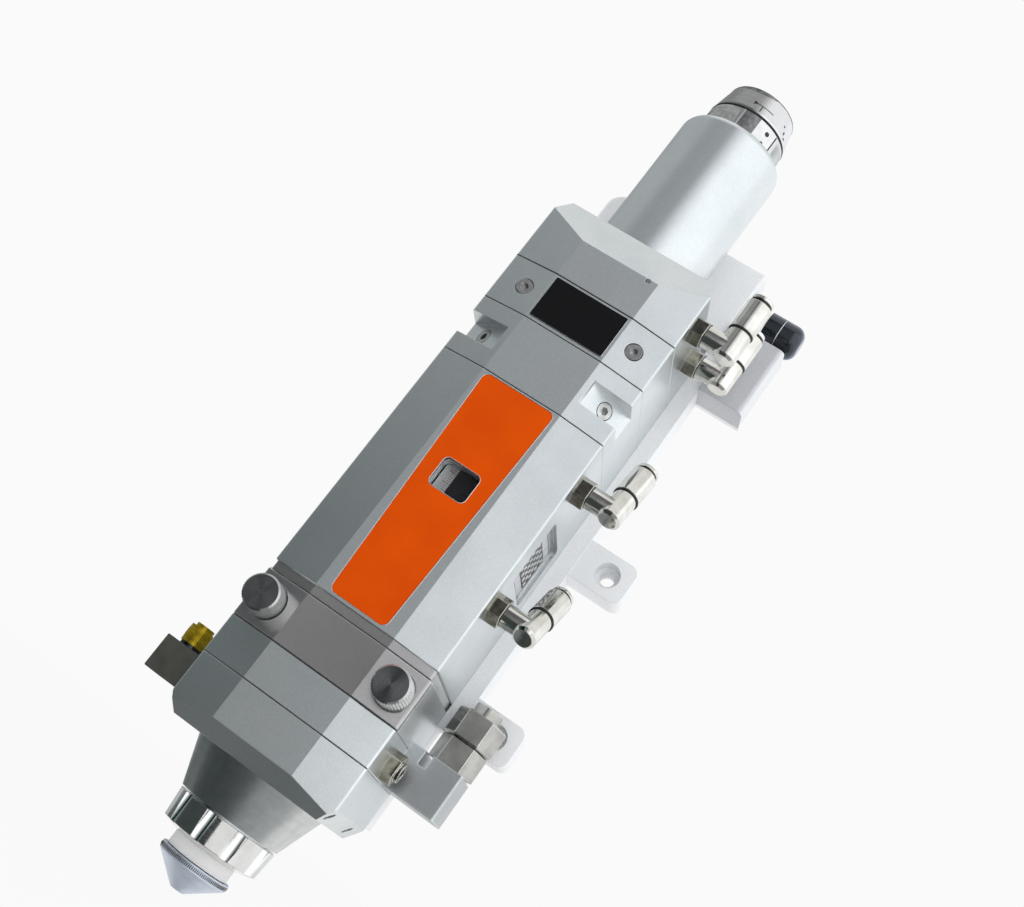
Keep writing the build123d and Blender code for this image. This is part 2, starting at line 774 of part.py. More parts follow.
for name, ring_name, seat_z in (
    ("focus_lens", "focus_ring", focus_seat_z),
    ("collimator_lens", "collimator_ring", cell_seat_z),
):
    rim_z = seat_z + lens_rim
    with BuildPart() as lens:
        with BuildSketch(turning_plane):
            with BuildLine():
                Polyline(
                    (0, rim_z + lens_crown),
                    (0, seat_z),
                    (lens_r, seat_z),
                    (lens_r, rim_z),
                    (lens_land_r, rim_z),
                )
                ThreePointArc(
                    (lens_land_r, rim_z),
                    (lens_land_r / 2, rim_z + half_way_z),
                    (0, rim_z + lens_crown),
                )
            make_face()
        revolve(axis=optical_axis)
    lens.part.label = name
    export_step(lens.part, f"parts/{name}.step")
    with BuildPart() as ring:
        with BuildSketch(Plane.XY.offset(rim_z)):
            with Locations((0, axis_y)):
                Circle(lens_r)
                Circle(lens_land_r + run_gap, mode=Mode.SUBTRACT)
        extrude(amount=lens_ring_h)
        with BuildSketch(Plane.XY.offset(rim_z + lens_ring_h)):
            with Locations((0, axis_y)):
                Rectangle(2 * lens_r, ring_slot_w)
        extrude(amount=-ring_slot_depth, mode=Mode.SUBTRACT)
    ring.part.label = ring_name
    export_step(ring.part, f"parts/{ring_name}.step")

with BuildPart() as guide_rods:
    with BuildSketch(Plane.XY.offset(band_z - rod_seat)):
        with Locations((-rod_x, rod_back_y), (rod_x, rod_front_y)):
            Circle(rod_r)
    extrude(amount=upper_z - band_z + 2 * rod_seat)
    chamfer(guide_rods.edges(), turned_edge)
guide_rods.part.label = "guide_rods"
export_step(guide_rods.part, "parts/guide_rods.step")

motor_pocket = 8.0

with BuildPart() as lead_screw:
    with BuildSketch(Plane.XY.offset(band_z + run_gap)):
        with Locations((motor_x, motor_y)):
            Circle(screw_foot_r)
    extrude(amount=band_h)
    with BuildSketch(Plane.XY.offset(housing_z + run_gap)):
        with Locations((motor_x, motor_y)):
            Circle(screw_r)
    extrude(amount=housing_h - 2 * run_gap)
    with BuildSketch(Plane.XY.offset(upper_z - run_gap)):
        with Locations((motor_x, motor_y)):
            Circle(screw_top_r)
    extrude(amount=motor_room + motor_pocket)
lead_screw.part.label = "lead_screw"
export_step(lead_screw.part, "parts/lead_screw.step")

with BuildPart() as drive_motor:
    with BuildSketch(Plane.XY.offset(motor_low_z)):
        with Locations((motor_x, motor_y)):
            Circle(motor_r)
    extrude(amount=motor_h)
    chamfer(drive_motor.edges(), turned_edge)
    with BuildSketch(Plane.XY.offset(motor_low_z)):
        with Locations((motor_x, motor_y)):
            Circle(screw_top_r + run_gap)
    extrude(amount=motor_pocket, mode=Mode.SUBTRACT)
drive_motor.part.label = "drive_motor"
export_step(drive_motor.part, "parts/drive_motor.step")

# Fibre receptacle: a fixed base and socket, and a tapered lock ring that turns round the socket
base_ring_r = 19.3
base_ring_h = 11.0
socket_r = 13.1
socket_bore_r = 10.0
lock_inner_r = socket_r + run_gap
lock_low_r = 19.0
lock_high_r = 15.6
lock_h = 14.4
socket_lip_r = 14.5
socket_lip_h = 2.6
lock_z = tube_top_z + base_ring_h + run_gap
socket_top_z = lock_z + lock_h + run_gap
groove_w = 1.6
lock_shoulder = 1.0

with BuildPart() as receptacle_base:
    with BuildSketch(Plane.XY.offset(tube_top_z)):
        with Locations((0, axis_y)):
            Circle(base_ring_r)
            Circle(socket_r + seat_gap, mode=Mode.SUBTRACT)
    extrude(amount=base_ring_h)
    chamfer(receptacle_base.faces().sort_by(Axis.Z)[-1].edges().sort_by(SortBy.LENGTH)[-1], turned_edge)
receptacle_base.part.label = "receptacle_base"
export_step(receptacle_base.part, "parts/receptacle_base.step")

with BuildPart() as fibre_socket:
    with BuildSketch(Plane.XY.offset(tube_top_z)):
        with Locations((0, axis_y)):
            Circle(socket_r)
    extrude(amount=socket_top_z - tube_top_z)
    with BuildSketch(Plane.XY.offset(socket_top_z - socket_lip_h)):
        with Locations((0, axis_y)):
            Circle(socket_lip_r)
    extrude(amount=socket_lip_h)
    with BuildSketch(Plane.XY.offset(tube_top_z)):
        with Locations((0, axis_y)):
            Circle(socket_bore_r)
    extrude(amount=socket_top_z - tube_top_z, mode=Mode.SUBTRACT)
fibre_socket.part.label = "fibre_socket"
export_step(fibre_socket.part, "parts/fibre_socket.step")

with BuildPart() as fibre_lock_ring:
    with BuildSketch(turning_plane):
        with BuildLine():
            Polyline(
                (lock_inner_r, lock_z),
                (lock_low_r, lock_z),
                (lock_low_r, lock_z + groove_w),
                (lock_high_r + lock_shoulder, lock_z + lock_h - lock_shoulder),
                (lock_high_r, lock_z + lock_h),
                (socket_lip_r + run_gap, lock_z + lock_h),
                (socket_lip_r + run_gap, socket_top_z - socket_lip_h - run_gap),
                (lock_inner_r, socket_top_z - socket_lip_h - run_gap),
                close=True,
            )
        make_face()
    revolve(axis=optical_axis)
fibre_lock_ring.part.label = "fibre_lock_ring"
export_step(fibre_lock_ring.part, "parts/fibre_lock_ring.step")

# Lower end: sensor cone, ceramic ring, lock nut and nozzle
cone_top_r = 29.0
cone_low_r = 22.2
cone_h = 18.6
spigot_r = 17.9
spigot_h = 5.7
cone_bore_r = 9.0
nut_gap = 0.9
lock_nut_r = 21.9
lock_nut_low_r = 20.8
lock_nut_h = 13.0
lock_nut_taper = 1.9
lip_t = 3.1
ceramic_flange_h = 4.7
ceramic_flange_r = spigot_r - 0.2
ceramic_neck_r = 13.4
ceramic_h = 13.5
nozzle_shank_r = 7.0
nozzle_shank_h = 9.0
nozzle_flange_r = 15.0
nozzle_flange_t = 2.6
nozzle_cone_h = 9.1
nozzle_tip_r = 3.0
nozzle_mouth_r = 5.0
orifice_r = 0.9
flute_r = 2.6
flute_at_r = lock_nut_r + 0.5
flute_count = 10
flute_start = -55.0

cone_low_z = foot_z - cone_h
ceramic_z = cone_low_z - spigot_h
nut_top_z = cone_low_z - nut_gap
nut_low_z = nut_top_z - lock_nut_h
nut_inner_r = spigot_r + run_gap
nozzle_z = ceramic_z - ceramic_h - run_gap

with BuildPart() as sensor_cone:
    with BuildSketch(turning_plane):
        with BuildLine():
            Polyline(
                (bore_r, foot_z),
                (cone_top_r, foot_z),
                (cone_low_r, cone_low_z),
                (spigot_r, cone_low_z),
                (spigot_r, ceramic_z),
                (cone_bore_r, ceramic_z),
                close=True,
            )
        make_face()
    revolve(axis=optical_axis)
sensor_cone.part.label = "sensor_cone"
export_step(sensor_cone.part, "parts/sensor_cone.step")

with BuildPart() as ceramic_ring:
    with BuildSketch(turning_plane):
        with BuildLine():
            Polyline(
                (nozzle_shank_r + run_gap, ceramic_z),
                (ceramic_flange_r, ceramic_z),
                (ceramic_flange_r, ceramic_z - ceramic_flange_h),
                (ceramic_neck_r, ceramic_z - ceramic_flange_h),
                (ceramic_neck_r, ceramic_z - ceramic_h),
                (nozzle_shank_r + run_gap, ceramic_z - ceramic_h),
                close=True,
            )
        make_face()
    revolve(axis=optical_axis)
ceramic_ring.part.label = "ceramic_ring"
export_step(ceramic_ring.part, "parts/ceramic_ring.step")

with BuildPart() as lock_nut:
    with BuildSketch(turning_plane):
        with BuildLine():
            Polyline(
                (nut_inner_r, nut_top_z),
                (lock_nut_r, nut_top_z),
                (lock_nut_low_r, nut_low_z + lock_nut_taper),
                (ceramic_neck_r + run_gap, nut_low_z),
                (ceramic_neck_r + run_gap, nut_low_z + lip_t),
                (nut_inner_r, nut_low_z + lip_t),
                close=True,
            )
        make_face()
    revolve(axis=optical_axis)
    with BuildSketch(Plane.XY.offset(nut_low_z)):
        with Locations((0, axis_y)):
            with PolarLocations(flute_at_r, flute_count, start_angle=flute_start):
                Circle(flute_r)
    extrude(amount=lock_nut_h, mode=Mode.SUBTRACT)
lock_nut.part.label = "lock_nut"
export_step(lock_nut.part, "parts/lock_nut.step")

with BuildPart() as nozzle:
    with BuildSketch(turning_plane):
        with BuildLine():
            Polyline(
                (nozzle_mouth_r, nozzle_z + nozzle_shank_h),
                (nozzle_shank_r, nozzle_z + nozzle_shank_h),
                (nozzle_shank_r, nozzle_z),
                (nozzle_flange_r, nozzle_z),
                (nozzle_flange_r, nozzle_z - nozzle_flange_t),
                (nozzle_tip_r, nozzle_z - nozzle_flange_t - nozzle_cone_h),
                (orifice_r, nozzle_z - nozzle_flange_t - nozzle_cone_h),
                close=True,
            )
        make_face()
    revolve(axis=optical_axis)
nozzle.part.label = "nozzle"
export_step(nozzle.part, "parts/nozzle.step")

# Back plate with its flanges, the two lugs on the right and a thin tongue at the top
lug_t = 16.0
plate_top_z = top_z
tongue_t = 3.0
cover_half = 41.0
cover_front_y = -16.5
cover_h = 46.0
cover_wall = 2.5
cover_round = 8.0
cover_edge = 1.5
box_low_z = cap_z + 14.7
box_h = 36.0
box_end_x = 68.0
box_front_y = -19.0
box_round = 3.0
box_inner_round = 1.0
box_top_z = box_low_z + box_h


def cover_outline(inset):
    """Rear cover from the front, its upper left corner rounded."""
    with BuildSketch(mode=Mode.PRIVATE) as plan:
        with Locations((0, plate_top_z + cover_h / 2)):
            Rectangle(2 * (cover_half - inset), cover_h - 2 * inset)
        fillet(plan.vertices().group_by(Axis.Y)[-1].sort_by(Axis.X)[0], cover_round - inset)
    return plan.sketch


def box_outline():
    """Drive box from the front, with a foot that meets the rear cover."""
    with BuildSketch(mode=Mode.PRIVATE) as plan:
        with BuildLine():
            Polyline(
                (flange_half, box_low_z),
                (box_end_x, box_low_z),
                (box_end_x, box_top_z),
                (cover_half, box_top_z),
                (cover_half, plate_top_z),
                (flange_half, plate_top_z),
                close=True,
            )
        make_face()
    return plan.sketch


with BuildPart() as back_plate:
    with BuildSketch(Plane.XY.offset(plate_low_z)):
        with Locations((0, back_y / 2)):
            Rectangle(2 * half_w, -back_y)
    extrude(amount=plate_top_z - plate_low_z)
    for side in (-1, 1):
        with BuildSketch(Plane.XY.offset(flange_low_z)):
            with Locations((side * (half_w + flange_half) / 2, flange_front / 2)):
                Rectangle(flange_half - half_w, -flange_front)
        extrude(amount=plate_top_z - flange_low_z)
    with BuildSketch(Plane.XZ):
        with Locations(*[((half_w + lug_end_x) / 2, side * lug_pitch / 2) for side in (-1, 1)]):
            RectangleRounded(lug_end_x - half_w, lug_h, lug_round)
    extrude(amount=lug_t)
    with BuildSketch(Plane.XZ):
        add(cover_outline(0.0))
        add(box_outline())
    extrude(amount=tongue_t)
    with BuildSketch(Plane.XZ.offset(lug_t)):
        with Locations((lug_hole_x, -lug_pitch / 2), (lug_hole_x, lug_pitch / 2)):
            Circle(lug_hole_r)
    extrude(amount=-lug_t, mode=Mode.SUBTRACT)
    with BuildSketch(Plane.XZ.offset(lug_t)):
        with Locations((lug_hole_x, -lug_pitch / 2), (lug_hole_x, lug_pitch / 2)):
            Circle(lug_sink_r)
    extrude(amount=-lug_sink_depth, mode=Mode.SUBTRACT)
    with BuildSketch(Plane.XZ):
        with Locations(*plate_screw_places):
            Circle(m5_head_r + head_room)
    extrude(amount=plate_head_depth, mode=Mode.SUBTRACT)
    with BuildSketch(Plane.XZ):
        with Locations(*plate_screw_places):
            Circle(m5_shank_r + seat_gap)
    extrude(amount=-back_y, mode=Mode.SUBTRACT)
back_plate.part.label = "back_plate"
export_step(back_plate.part, "parts/back_plate.step")

with BuildPart() as plate_screws:
    with BuildSketch(Plane.XZ.offset(plate_head_depth - m5_head_h)):
        with Locations(*plate_screw_places):
            Circle(m5_head_r)
    extrude(amount=m5_head_h)
    with BuildSketch(Plane.XZ.offset(plate_head_depth)):
        with Locations(*plate_screw_places):
            Circle(m5_shank_r)
    extrude(amount=plate_screw_grip - back_y - plate_head_depth)
    with BuildSketch(Plane.XZ.offset(plate_head_depth - m5_head_h)):
        with Locations(*plate_screw_places):
            RegularPolygon(m5_key_r, 6)
    extrude(amount=socket_depth, mode=Mode.SUBTRACT)
plate_screws.part.label = "plate_screws"
export_step(plate_screws.part, "parts/plate_screws.step")

# Rear cover behind the tube and the drive box beside it, thin castings closed by the plate's tongue
with BuildPart() as rear_cover:
    with BuildSketch(Plane.XZ.offset(tongue_t)):
        add(cover_outline(0.0))
    extrude(amount=-cover_front_y - tongue_t)
    fillet(rear_cover.faces().sort_by(Axis.Y)[0].edges().filter_by(Axis.Z), cover_edge)
    with BuildSketch(Plane.XZ.offset(tongue_t)):
        add(cover_outline(cover_wall))
    extrude(amount=-cover_front_y - tongue_t - cover_wall, mode=Mode.SUBTRACT)
rear_cover.part.label = "rear_cover"
export_step(rear_cover.part, "parts/rear_cover.step")

with BuildPart() as drive_box:
    with BuildSketch(Plane.XZ.offset(tongue_t)):
        add(box_outline())
    extrude(amount=-box_front_y - tongue_t)
    fillet(drive_box.faces().sort_by(Axis.X)[-1].edges().filter_by(Axis.Z).sort_by(Axis.Y)[0], box_round)
    with BuildSketch(Plane.XZ.offset(tongue_t)):
        with Locations(((flange_half + box_end_x) / 2, (box_low_z + box_top_z) / 2)):
            RectangleRounded(
                box_end_x - flange_half - 2 * cover_wall,
                box_h - 2 * cover_wall,
                box_inner_round,
            )
    extrude(amount=-box_front_y - tongue_t - cover_wall, mode=Mode.SUBTRACT)
drive_box.part.label = "drive_box"
export_step(drive_box.part, "parts/drive_box.step")

# Cable connector on top of the drive box, closed by a domed cap that twists off
connector_r = 8.2
connector_y = -9.0
connector_z = box_top_z + 10.3
connector_low_x = 53.0
connector_len = 6.5
connector_foot = 6.0
connector_pin_r = 5.0
connector_pin_len = 4.0
dome_len = 11.0
dome_round = 5.0

with BuildPart() as cable_connector:
    with BuildSketch(Plane.YZ.offset(connector_low_x)):
        with Locations((connector_y, connector_z)):
            Circle(connector_r)
    extrude(amount=connector_len)
    with BuildSketch(Plane.XY.offset(box_top_z)):
        with Locations((connector_low_x + connector_len / 2, connector_y)):
            Rectangle(connector_len, 2 * connector_foot)
    extrude(amount=connector_z - box_top_z)
    with BuildSketch(Plane.YZ.offset(connector_low_x + connector_len)):
        with Locations((connector_y, connector_z)):
            Circle(connector_pin_r)
    extrude(amount=connector_pin_len)
cable_connector.part.label = "cable_connector"
export_step(cable_connector.part, "parts/cable_connector.step")

with BuildPart() as connector_cap:
    with BuildSketch(Plane.YZ.offset(connector_low_x + connector_len + run_gap)):
        with Locations((connector_y, connector_z)):
            Circle(connector_r)
    extrude(amount=dome_len)
    fillet(connector_cap.faces().sort_by(Axis.X)[-1].edges(), dome_round)
    with BuildSketch(Plane.YZ.offset(connector_low_x + connector_len + run_gap)):
        with Locations((connector_y, connector_z)):
            Circle(connector_pin_r + run_gap)
    extrude(amount=connector_pin_len, mode=Mode.SUBTRACT)
connector_cap.part.label = "connector_cap"
export_step(connector_cap.part, "parts/connector_cap.step")

# Push-in elbow fittings: screwed stems, elbows that swivel on them, and release collars that press in
pivot_r = 3.4
pivot_len = 6.5
air_r = 1.5
air_bend_r = 1.9
elbow_r = 4.9
elbow_foot = 5.3
elbow_chamfer = 1.2
sleeve_chamfer = 0.6
port_x = half_w + 17.0
port_h = 24.0
port_r = 5.1
port_neck_h = 8.6
port_groove_h = 0.8
port_groove_r = 4.7
port_sleeve_r = 5.6
tube_socket_r = 3.1
tube_socket_depth = 14.0
collar_stem_r = 4.0
collar_stem_h = 3.0
collar_flange_r = 4.9
collar_flange_h = 1.5
collar_travel = 0.8
collar_rest = collar_travel + run_gap

with BuildPart() as fitting_stems:
    for _, stem_y, stem_z, _ in fittings:
        with BuildSketch(right_plane):
            with Locations((stem_y, stem_z)):
                RegularPolygon(hex_af / 2, 6, major_radius=False, rotation=90)
        extrude(amount=hex_len)
        with BuildSketch(right_plane):
            with Locations((stem_y, stem_z)):
                Circle(stem_r)
        extrude(amount=-stem_len)
        with BuildSketch(right_plane.offset(hex_len)):
            with Locations((stem_y, stem_z)):
                Circle(pivot_r)
        extrude(amount=pivot_len)
        with BuildSketch(right_plane.offset(-stem_len)):
            with Locations((stem_y, stem_z)):
                Circle(air_r)
        extrude(amount=stem_len + hex_len + pivot_len, mode=Mode.SUBTRACT)
fitting_stems.part.label = "fitting_stems"
export_step(fitting_stems.part, "parts/fitting_stems.step")

for name, elbow_y, elbow_z, lean in fittings:
    elbow_start = right_plane.offset(hex_len + run_gap)
    bend = Plane(origin=(port_x, elbow_y, elbow_z))
    port = bend.rotated((-lean, 0, 0))
    with BuildPart() as elbow:
        with BuildSketch(bend.rotated((90 - lean, 0, 0))):
            with BuildLine():
                Polyline(
                    (0, -elbow_foot),
                    (port_r - elbow_chamfer, -elbow_foot),
                    (port_r, -elbow_foot + elbow_chamfer),
                    (port_r, port_neck_h),
                    (port_groove_r, port_neck_h),
                    (port_groove_r, port_neck_h + port_groove_h),
                    (port_sleeve_r, port_neck_h + port_groove_h),
                    (port_sleeve_r, port_h - sleeve_chamfer),
                    (port_sleeve_r - sleeve_chamfer, port_h),
                    (0, port_h),
                    close=True,
                )
            make_face()
        revolve(axis=Axis(port.origin, port.z_dir))
        with BuildSketch(elbow_start):
            with Locations((elbow_y, elbow_z)):
                Circle(elbow_r)
        extrude(amount=port_x - half_w - hex_len - run_gap)
        with BuildSketch(elbow_start):
            with Locations((elbow_y, elbow_z)):
                Circle(pivot_r + run_gap)
        extrude(amount=pivot_len, mode=Mode.SUBTRACT)
        with BuildSketch(elbow_start):
            with Locations((elbow_y, elbow_z)):
                Circle(air_r)
        extrude(amount=port_x - half_w - hex_len - run_gap, mode=Mode.SUBTRACT)
        with BuildSketch(port.offset(-air_bend_r)):
            Circle(air_bend_r)
        extrude(amount=port_h, mode=Mode.SUBTRACT)
        with BuildSketch(port.offset(port_h)):
            Circle(tube_socket_r)
        extrude(amount=-tube_socket_depth, mode=Mode.SUBTRACT)
        with BuildSketch(port.offset(port_h)):
            Circle(collar_stem_r + run_gap)
        extrude(amount=-(collar_stem_h + run_gap), mode=Mode.SUBTRACT)
    elbow.part.label = f"elbow_{name}"
    export_step(elbow.part, f"parts/elbow_{name}.step")
    with BuildPart() as collar:
        with BuildSketch(port.offset(port_h + collar_rest)):
            Circle(collar_flange_r)
        extrude(amount=collar_flange_h)
        with BuildSketch(port.offset(port_h + collar_rest)):
            Circle(collar_stem_r)
        extrude(amount=-collar_stem_h)
        with BuildSketch(port.offset(port_h + collar_rest - collar_stem_h)):
            Circle(tube_socket_r)
        extrude(amount=collar_stem_h + collar_flange_h, mode=Mode.SUBTRACT)
    collar.part.label = f"collar_{name}"
    export_step(collar.part, f"parts/collar_{name}.step")

# Assist-gas inlet: a block on the right side, a hex fitting in it and a swivelling hose nut
gas_low_z = base_z + 0.2
gas_h = 20.2
gas_front_y = -37.0
gas_back_y = -10.0
gas_end_x = 62.6
gas_notch_x = (45.0, 48.6)
gas_notch_depth = 6.0
gas_x = 54.8
gas_y = -27.5
gas_hex_af = 18.0
gas_hex_h = 11.2
gas_barb_r = 6.0
gas_bore_r = 4.0
gas_thread_r = 6.5
gas_thread_h = 8.0
gas_nut_af = 19.0
gas_nut_h = 12.0
gas_tip_h = 4.0
gas_chamfer = 0.6
gas_top_z = gas_low_z + gas_h
gas_nut_z = gas_top_z + gas_hex_h + run_gap

with BuildPart() as gas_block:
    with BuildSketch(Plane.XZ.offset(-gas_front_y)):
        with Locations(((half_w + gas_end_x) / 2, gas_low_z + gas_h / 2)):
            Rectangle(gas_end_x - half_w, gas_h)
        with Locations(((gas_notch_x[0] + gas_notch_x[1]) / 2, gas_top_z - gas_notch_depth / 2)):
            Rectangle(gas_notch_x[1] - gas_notch_x[0], gas_notch_depth, mode=Mode.SUBTRACT)
    extrude(amount=gas_front_y - gas_back_y)
    fillet(gas_block.faces().sort_by(Axis.X)[-1].edges().filter_by(Axis.Z), edge_round)
    with BuildSketch(Plane.XY.offset(gas_top_z)):
        with Locations((gas_x, gas_y)):
            Circle(gas_thread_r + seat_gap)
    extrude(amount=-gas_thread_h - seat_gap, mode=Mode.SUBTRACT)
gas_block.part.label = "gas_block"
export_step(gas_block.part, "parts/gas_block.step")

with BuildPart() as gas_fitting:
    with BuildSketch(Plane.XY.offset(gas_top_z)):
        with Locations((gas_x, gas_y)):
            RegularPolygon(gas_hex_af / 2, 6, major_radius=False)
    extrude(amount=gas_hex_h)
    chamfer(gas_fitting.faces().sort_by(Axis.Z)[-1].edges(), gas_chamfer)
    with BuildSketch(Plane.XY.offset(gas_top_z)):
        with Locations((gas_x, gas_y)):
            Circle(gas_thread_r)
    extrude(amount=-gas_thread_h)
    with BuildSketch(Plane.XY.offset(gas_top_z)):
        with Locations((gas_x, gas_y)):
            Circle(gas_barb_r)
    extrude(amount=gas_hex_h + 2 * run_gap + gas_nut_h + gas_tip_h)
    with BuildSketch(Plane.XY.offset(gas_top_z - gas_thread_h)):
        with Locations((gas_x, gas_y)):
            Circle(gas_bore_r)
    extrude(amount=gas_thread_h + gas_hex_h + 2 * run_gap + gas_nut_h + gas_tip_h, mode=Mode.SUBTRACT)
gas_fitting.part.label = "gas_fitting"
export_step(gas_fitting.part, "parts/gas_fitting.step")

with BuildPart() as gas_nut:
    with BuildSketch(Plane.XY.offset(gas_nut_z)):
        with Locations((gas_x, gas_y)):
            RegularPolygon(gas_nut_af / 2, 6, major_radius=False)
            Circle(gas_barb_r + run_gap, mode=Mode.SUBTRACT)
    extrude(amount=gas_nut_h)
    chamfer(gas_nut.faces().sort_by(Axis.Z)[0].outer_wire().edges(), gas_chamfer)
    chamfer(gas_nut.faces().sort_by(Axis.Z)[-1].outer_wire().edges(), gas_chamfer)
gas_nut.part.label = "gas_nut"
export_step(gas_nut.part, "parts/gas_nut.step")

# Hex plug in the side of the base block
plug_y = -50.0
plug_z = base_z + 7.0
plug_af = 11.0
plug_hex_len = 5.0
plug_boss_r = 4.0
plug_boss_len = 1.5

with BuildPart() as side_plug:
    with BuildSketch(right_plane):
        with Locations((plug_y, plug_z)):
            RegularPolygon(plug_af / 2, 6, major_radius=False, rotation=90)
    extrude(amount=plug_hex_len)
    with BuildSketch(right_plane):
        with Locations((plug_y, plug_z)):
            Circle(plug_boss_r)
    extrude(amount=plug_hex_len + plug_boss_len)
    with BuildSketch(right_plane.offset(plug_hex_len + plug_boss_len)):
        with Locations((plug_y, plug_z)):
            RegularPolygon(m5_key_r, 6)
    extrude(amount=-socket_depth, mode=Mode.SUBTRACT)
side_plug.part.label = "side_plug"
export_step(side_plug.part, "parts/side_plug.step")

# Height sensor block on the left, with its gilt cable connector
sensor_end_x = -62.3
sensor_ys = (-53.0, -35.0)
sensor_low_z = foot_z + 7.6
sensor_block_h = 14.9
sensor_at = (-54.5, -44.0)
sensor_ring_r = 5.0
sensor_ring_h = 1.5
sensor_collar_r = 5.5
sensor_collar_h = 7.5
sensor_barrel_r = 4.0
sensor_barrel_h = 1.6
sensor_pin_r = 2.2
sensor_pin_depth = 6.0
sensor_top_z = sensor_low_z + sensor_block_h

with BuildPart() as sensor_block:
    with BuildSketch(Plane.XY.offset(sensor_low_z)):
        with Locations(((sensor_end_x - half_w) / 2, (sensor_ys[0] + sensor_ys[1]) / 2)):
            Rectangle(-half_w - sensor_end_x, sensor_ys[1] - sensor_ys[0])
    extrude(amount=sensor_block_h)
    chamfer(sensor_block.faces().sort_by(Axis.X)[0].edges(), turned_edge)
sensor_block.part.label = "sensor_block"
export_step(sensor_block.part, "parts/sensor_block.step")

with BuildPart() as connector_insulator:
    with BuildSketch(Plane.XY.offset(sensor_top_z)):
        with Locations(sensor_at):
            Circle(sensor_ring_r)
    extrude(amount=sensor_ring_h)
connector_insulator.part.label = "connector_insulator"
export_step(connector_insulator.part, "parts/connector_insulator.step")

with BuildPart() as sensor_connector:
    with BuildSketch(Plane.XY.offset(sensor_top_z + sensor_ring_h)):
        with Locations(sensor_at):
            Circle(sensor_collar_r)
    extrude(amount=sensor_collar_h)
    with BuildSketch(Plane.XY.offset(sensor_top_z + sensor_ring_h)):
        with Locations(sensor_at):
            Circle(sensor_barrel_r)
    extrude(amount=sensor_collar_h + sensor_barrel_h)
    with BuildSketch(Plane.XY.offset(sensor_top_z + sensor_ring_h + sensor_collar_h + sensor_barrel_h)):
        with Locations(sensor_at):
            Circle(sensor_pin_r)
    extrude(amount=-sensor_pin_depth, mode=Mode.SUBTRACT)
sensor_connector.part.label = "sensor_connector"
export_step(sensor_connector.part, "parts/sensor_connector.step")
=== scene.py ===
from math import cos, pi, radians, sin

import bmesh
import bpy
from mathutils import Matrix, Vector


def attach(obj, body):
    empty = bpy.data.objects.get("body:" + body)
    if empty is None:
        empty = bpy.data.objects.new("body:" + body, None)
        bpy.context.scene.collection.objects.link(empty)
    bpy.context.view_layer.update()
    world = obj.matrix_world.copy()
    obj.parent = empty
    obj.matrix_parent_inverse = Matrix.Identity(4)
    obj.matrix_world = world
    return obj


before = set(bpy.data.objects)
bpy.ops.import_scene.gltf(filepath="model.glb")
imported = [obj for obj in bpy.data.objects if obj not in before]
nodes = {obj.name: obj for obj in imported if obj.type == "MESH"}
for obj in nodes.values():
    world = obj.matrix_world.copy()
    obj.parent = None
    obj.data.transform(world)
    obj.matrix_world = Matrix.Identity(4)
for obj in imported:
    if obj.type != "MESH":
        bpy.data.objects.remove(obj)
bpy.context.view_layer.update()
scene = bpy.context.scene

# ------------------------------------------------------------------------------
# Stacked machined blocks, the plate behind them, the cone under them, the tube above them and the castings beside it.
# They are aluminium, milled square, blasted to a fine grain and clear anodised to a cool satin grey.
# ------------------------------------------------------------------------------
mm = 0.001
block_pieces = ["bottom_block", "base_block", "drawer_housing", "main_housing", "upper_block", "clamp_block",
                "top_cap", "collimator_tube"]
edge_abrasion_and_highlight = 0.0005
cloud_scale, grain_scale, dust_scale = 38, 1500, 4200


def finish_of(name, colour, metallic=0.0, roughness=0.5):
    """A new procedural finish. Gives the material, its tree and its shader."""
    material = bpy.data.materials.new(name)
    material.use_nodes = True
    tree = material.node_tree
    shader = tree.nodes["Principled BSDF"]
    shader.inputs["Base Color"].default_value = (*colour, 1)
    shader.inputs["Metallic"].default_value = metallic
    shader.inputs["Roughness"].default_value = roughness
    return material, tree, shader


def node(tree, kind, **settings):
    """A new node of the tree, with its own settings."""
    made = tree.nodes.new(kind)
    for key, value in settings.items():
        setattr(made, key, value)
    return made


def pattern(tree, scale, detail=2.0, stretch=(1, 1, 1)):
    """A noise in Object coordinates, stretched along the axes. Gives its value."""
    place, stretched = node(tree, "ShaderNodeTexCoord"), node(tree, "ShaderNodeMapping")
    stretched.inputs["Scale"].default_value = stretch
    texture = node(tree, "ShaderNodeTexNoise")
    texture.inputs["Scale"].default_value = scale
    texture.inputs["Detail"].default_value = detail
    tree.links.new(place.outputs["Object"], stretched.inputs["Vector"])
    tree.links.new(stretched.outputs["Vector"], texture.inputs["Vector"])
    return texture.outputs["Fac"]


def between(tree, value, low, high, start=0.35, end=0.65):
    """The value carried from start and end to low and high: two numbers or two colours."""
    if isinstance(low, tuple):
        ramp = node(tree, "ShaderNodeValToRGB")
        ramp.color_ramp.elements[0].position, ramp.color_ramp.elements[1].position = start, end
        ramp.color_ramp.elements[0].color, ramp.color_ramp.elements[1].color = (*low, 1), (*high, 1)
        tree.links.new(value, ramp.inputs["Fac"])
        return ramp.outputs["Color"]
    span = node(tree, "ShaderNodeMapRange")
    for label, number in (("From Min", start), ("From Max", end), ("To Min", low), ("To Max", high)):
        span.inputs[label].default_value = number
    tree.links.new(value, span.inputs["Value"])
    return span.outputs["Result"]


def mixed(tree, share, first, second, blend="MIX"):
    """Two colours mixed by a share, each a socket or a plain colour."""
    mix = node(tree, "ShaderNodeMix", data_type="RGBA", blend_type=blend)
    for socket, value in ((mix.inputs[0], share), (mix.inputs[6], first), (mix.inputs[7], second)):
        if isinstance(value, tuple):
            socket.default_value = (*value, 1)
        elif isinstance(value, float):
            socket.default_value = value
        else:
            tree.links.new(value, socket)
    return mix.outputs[2]


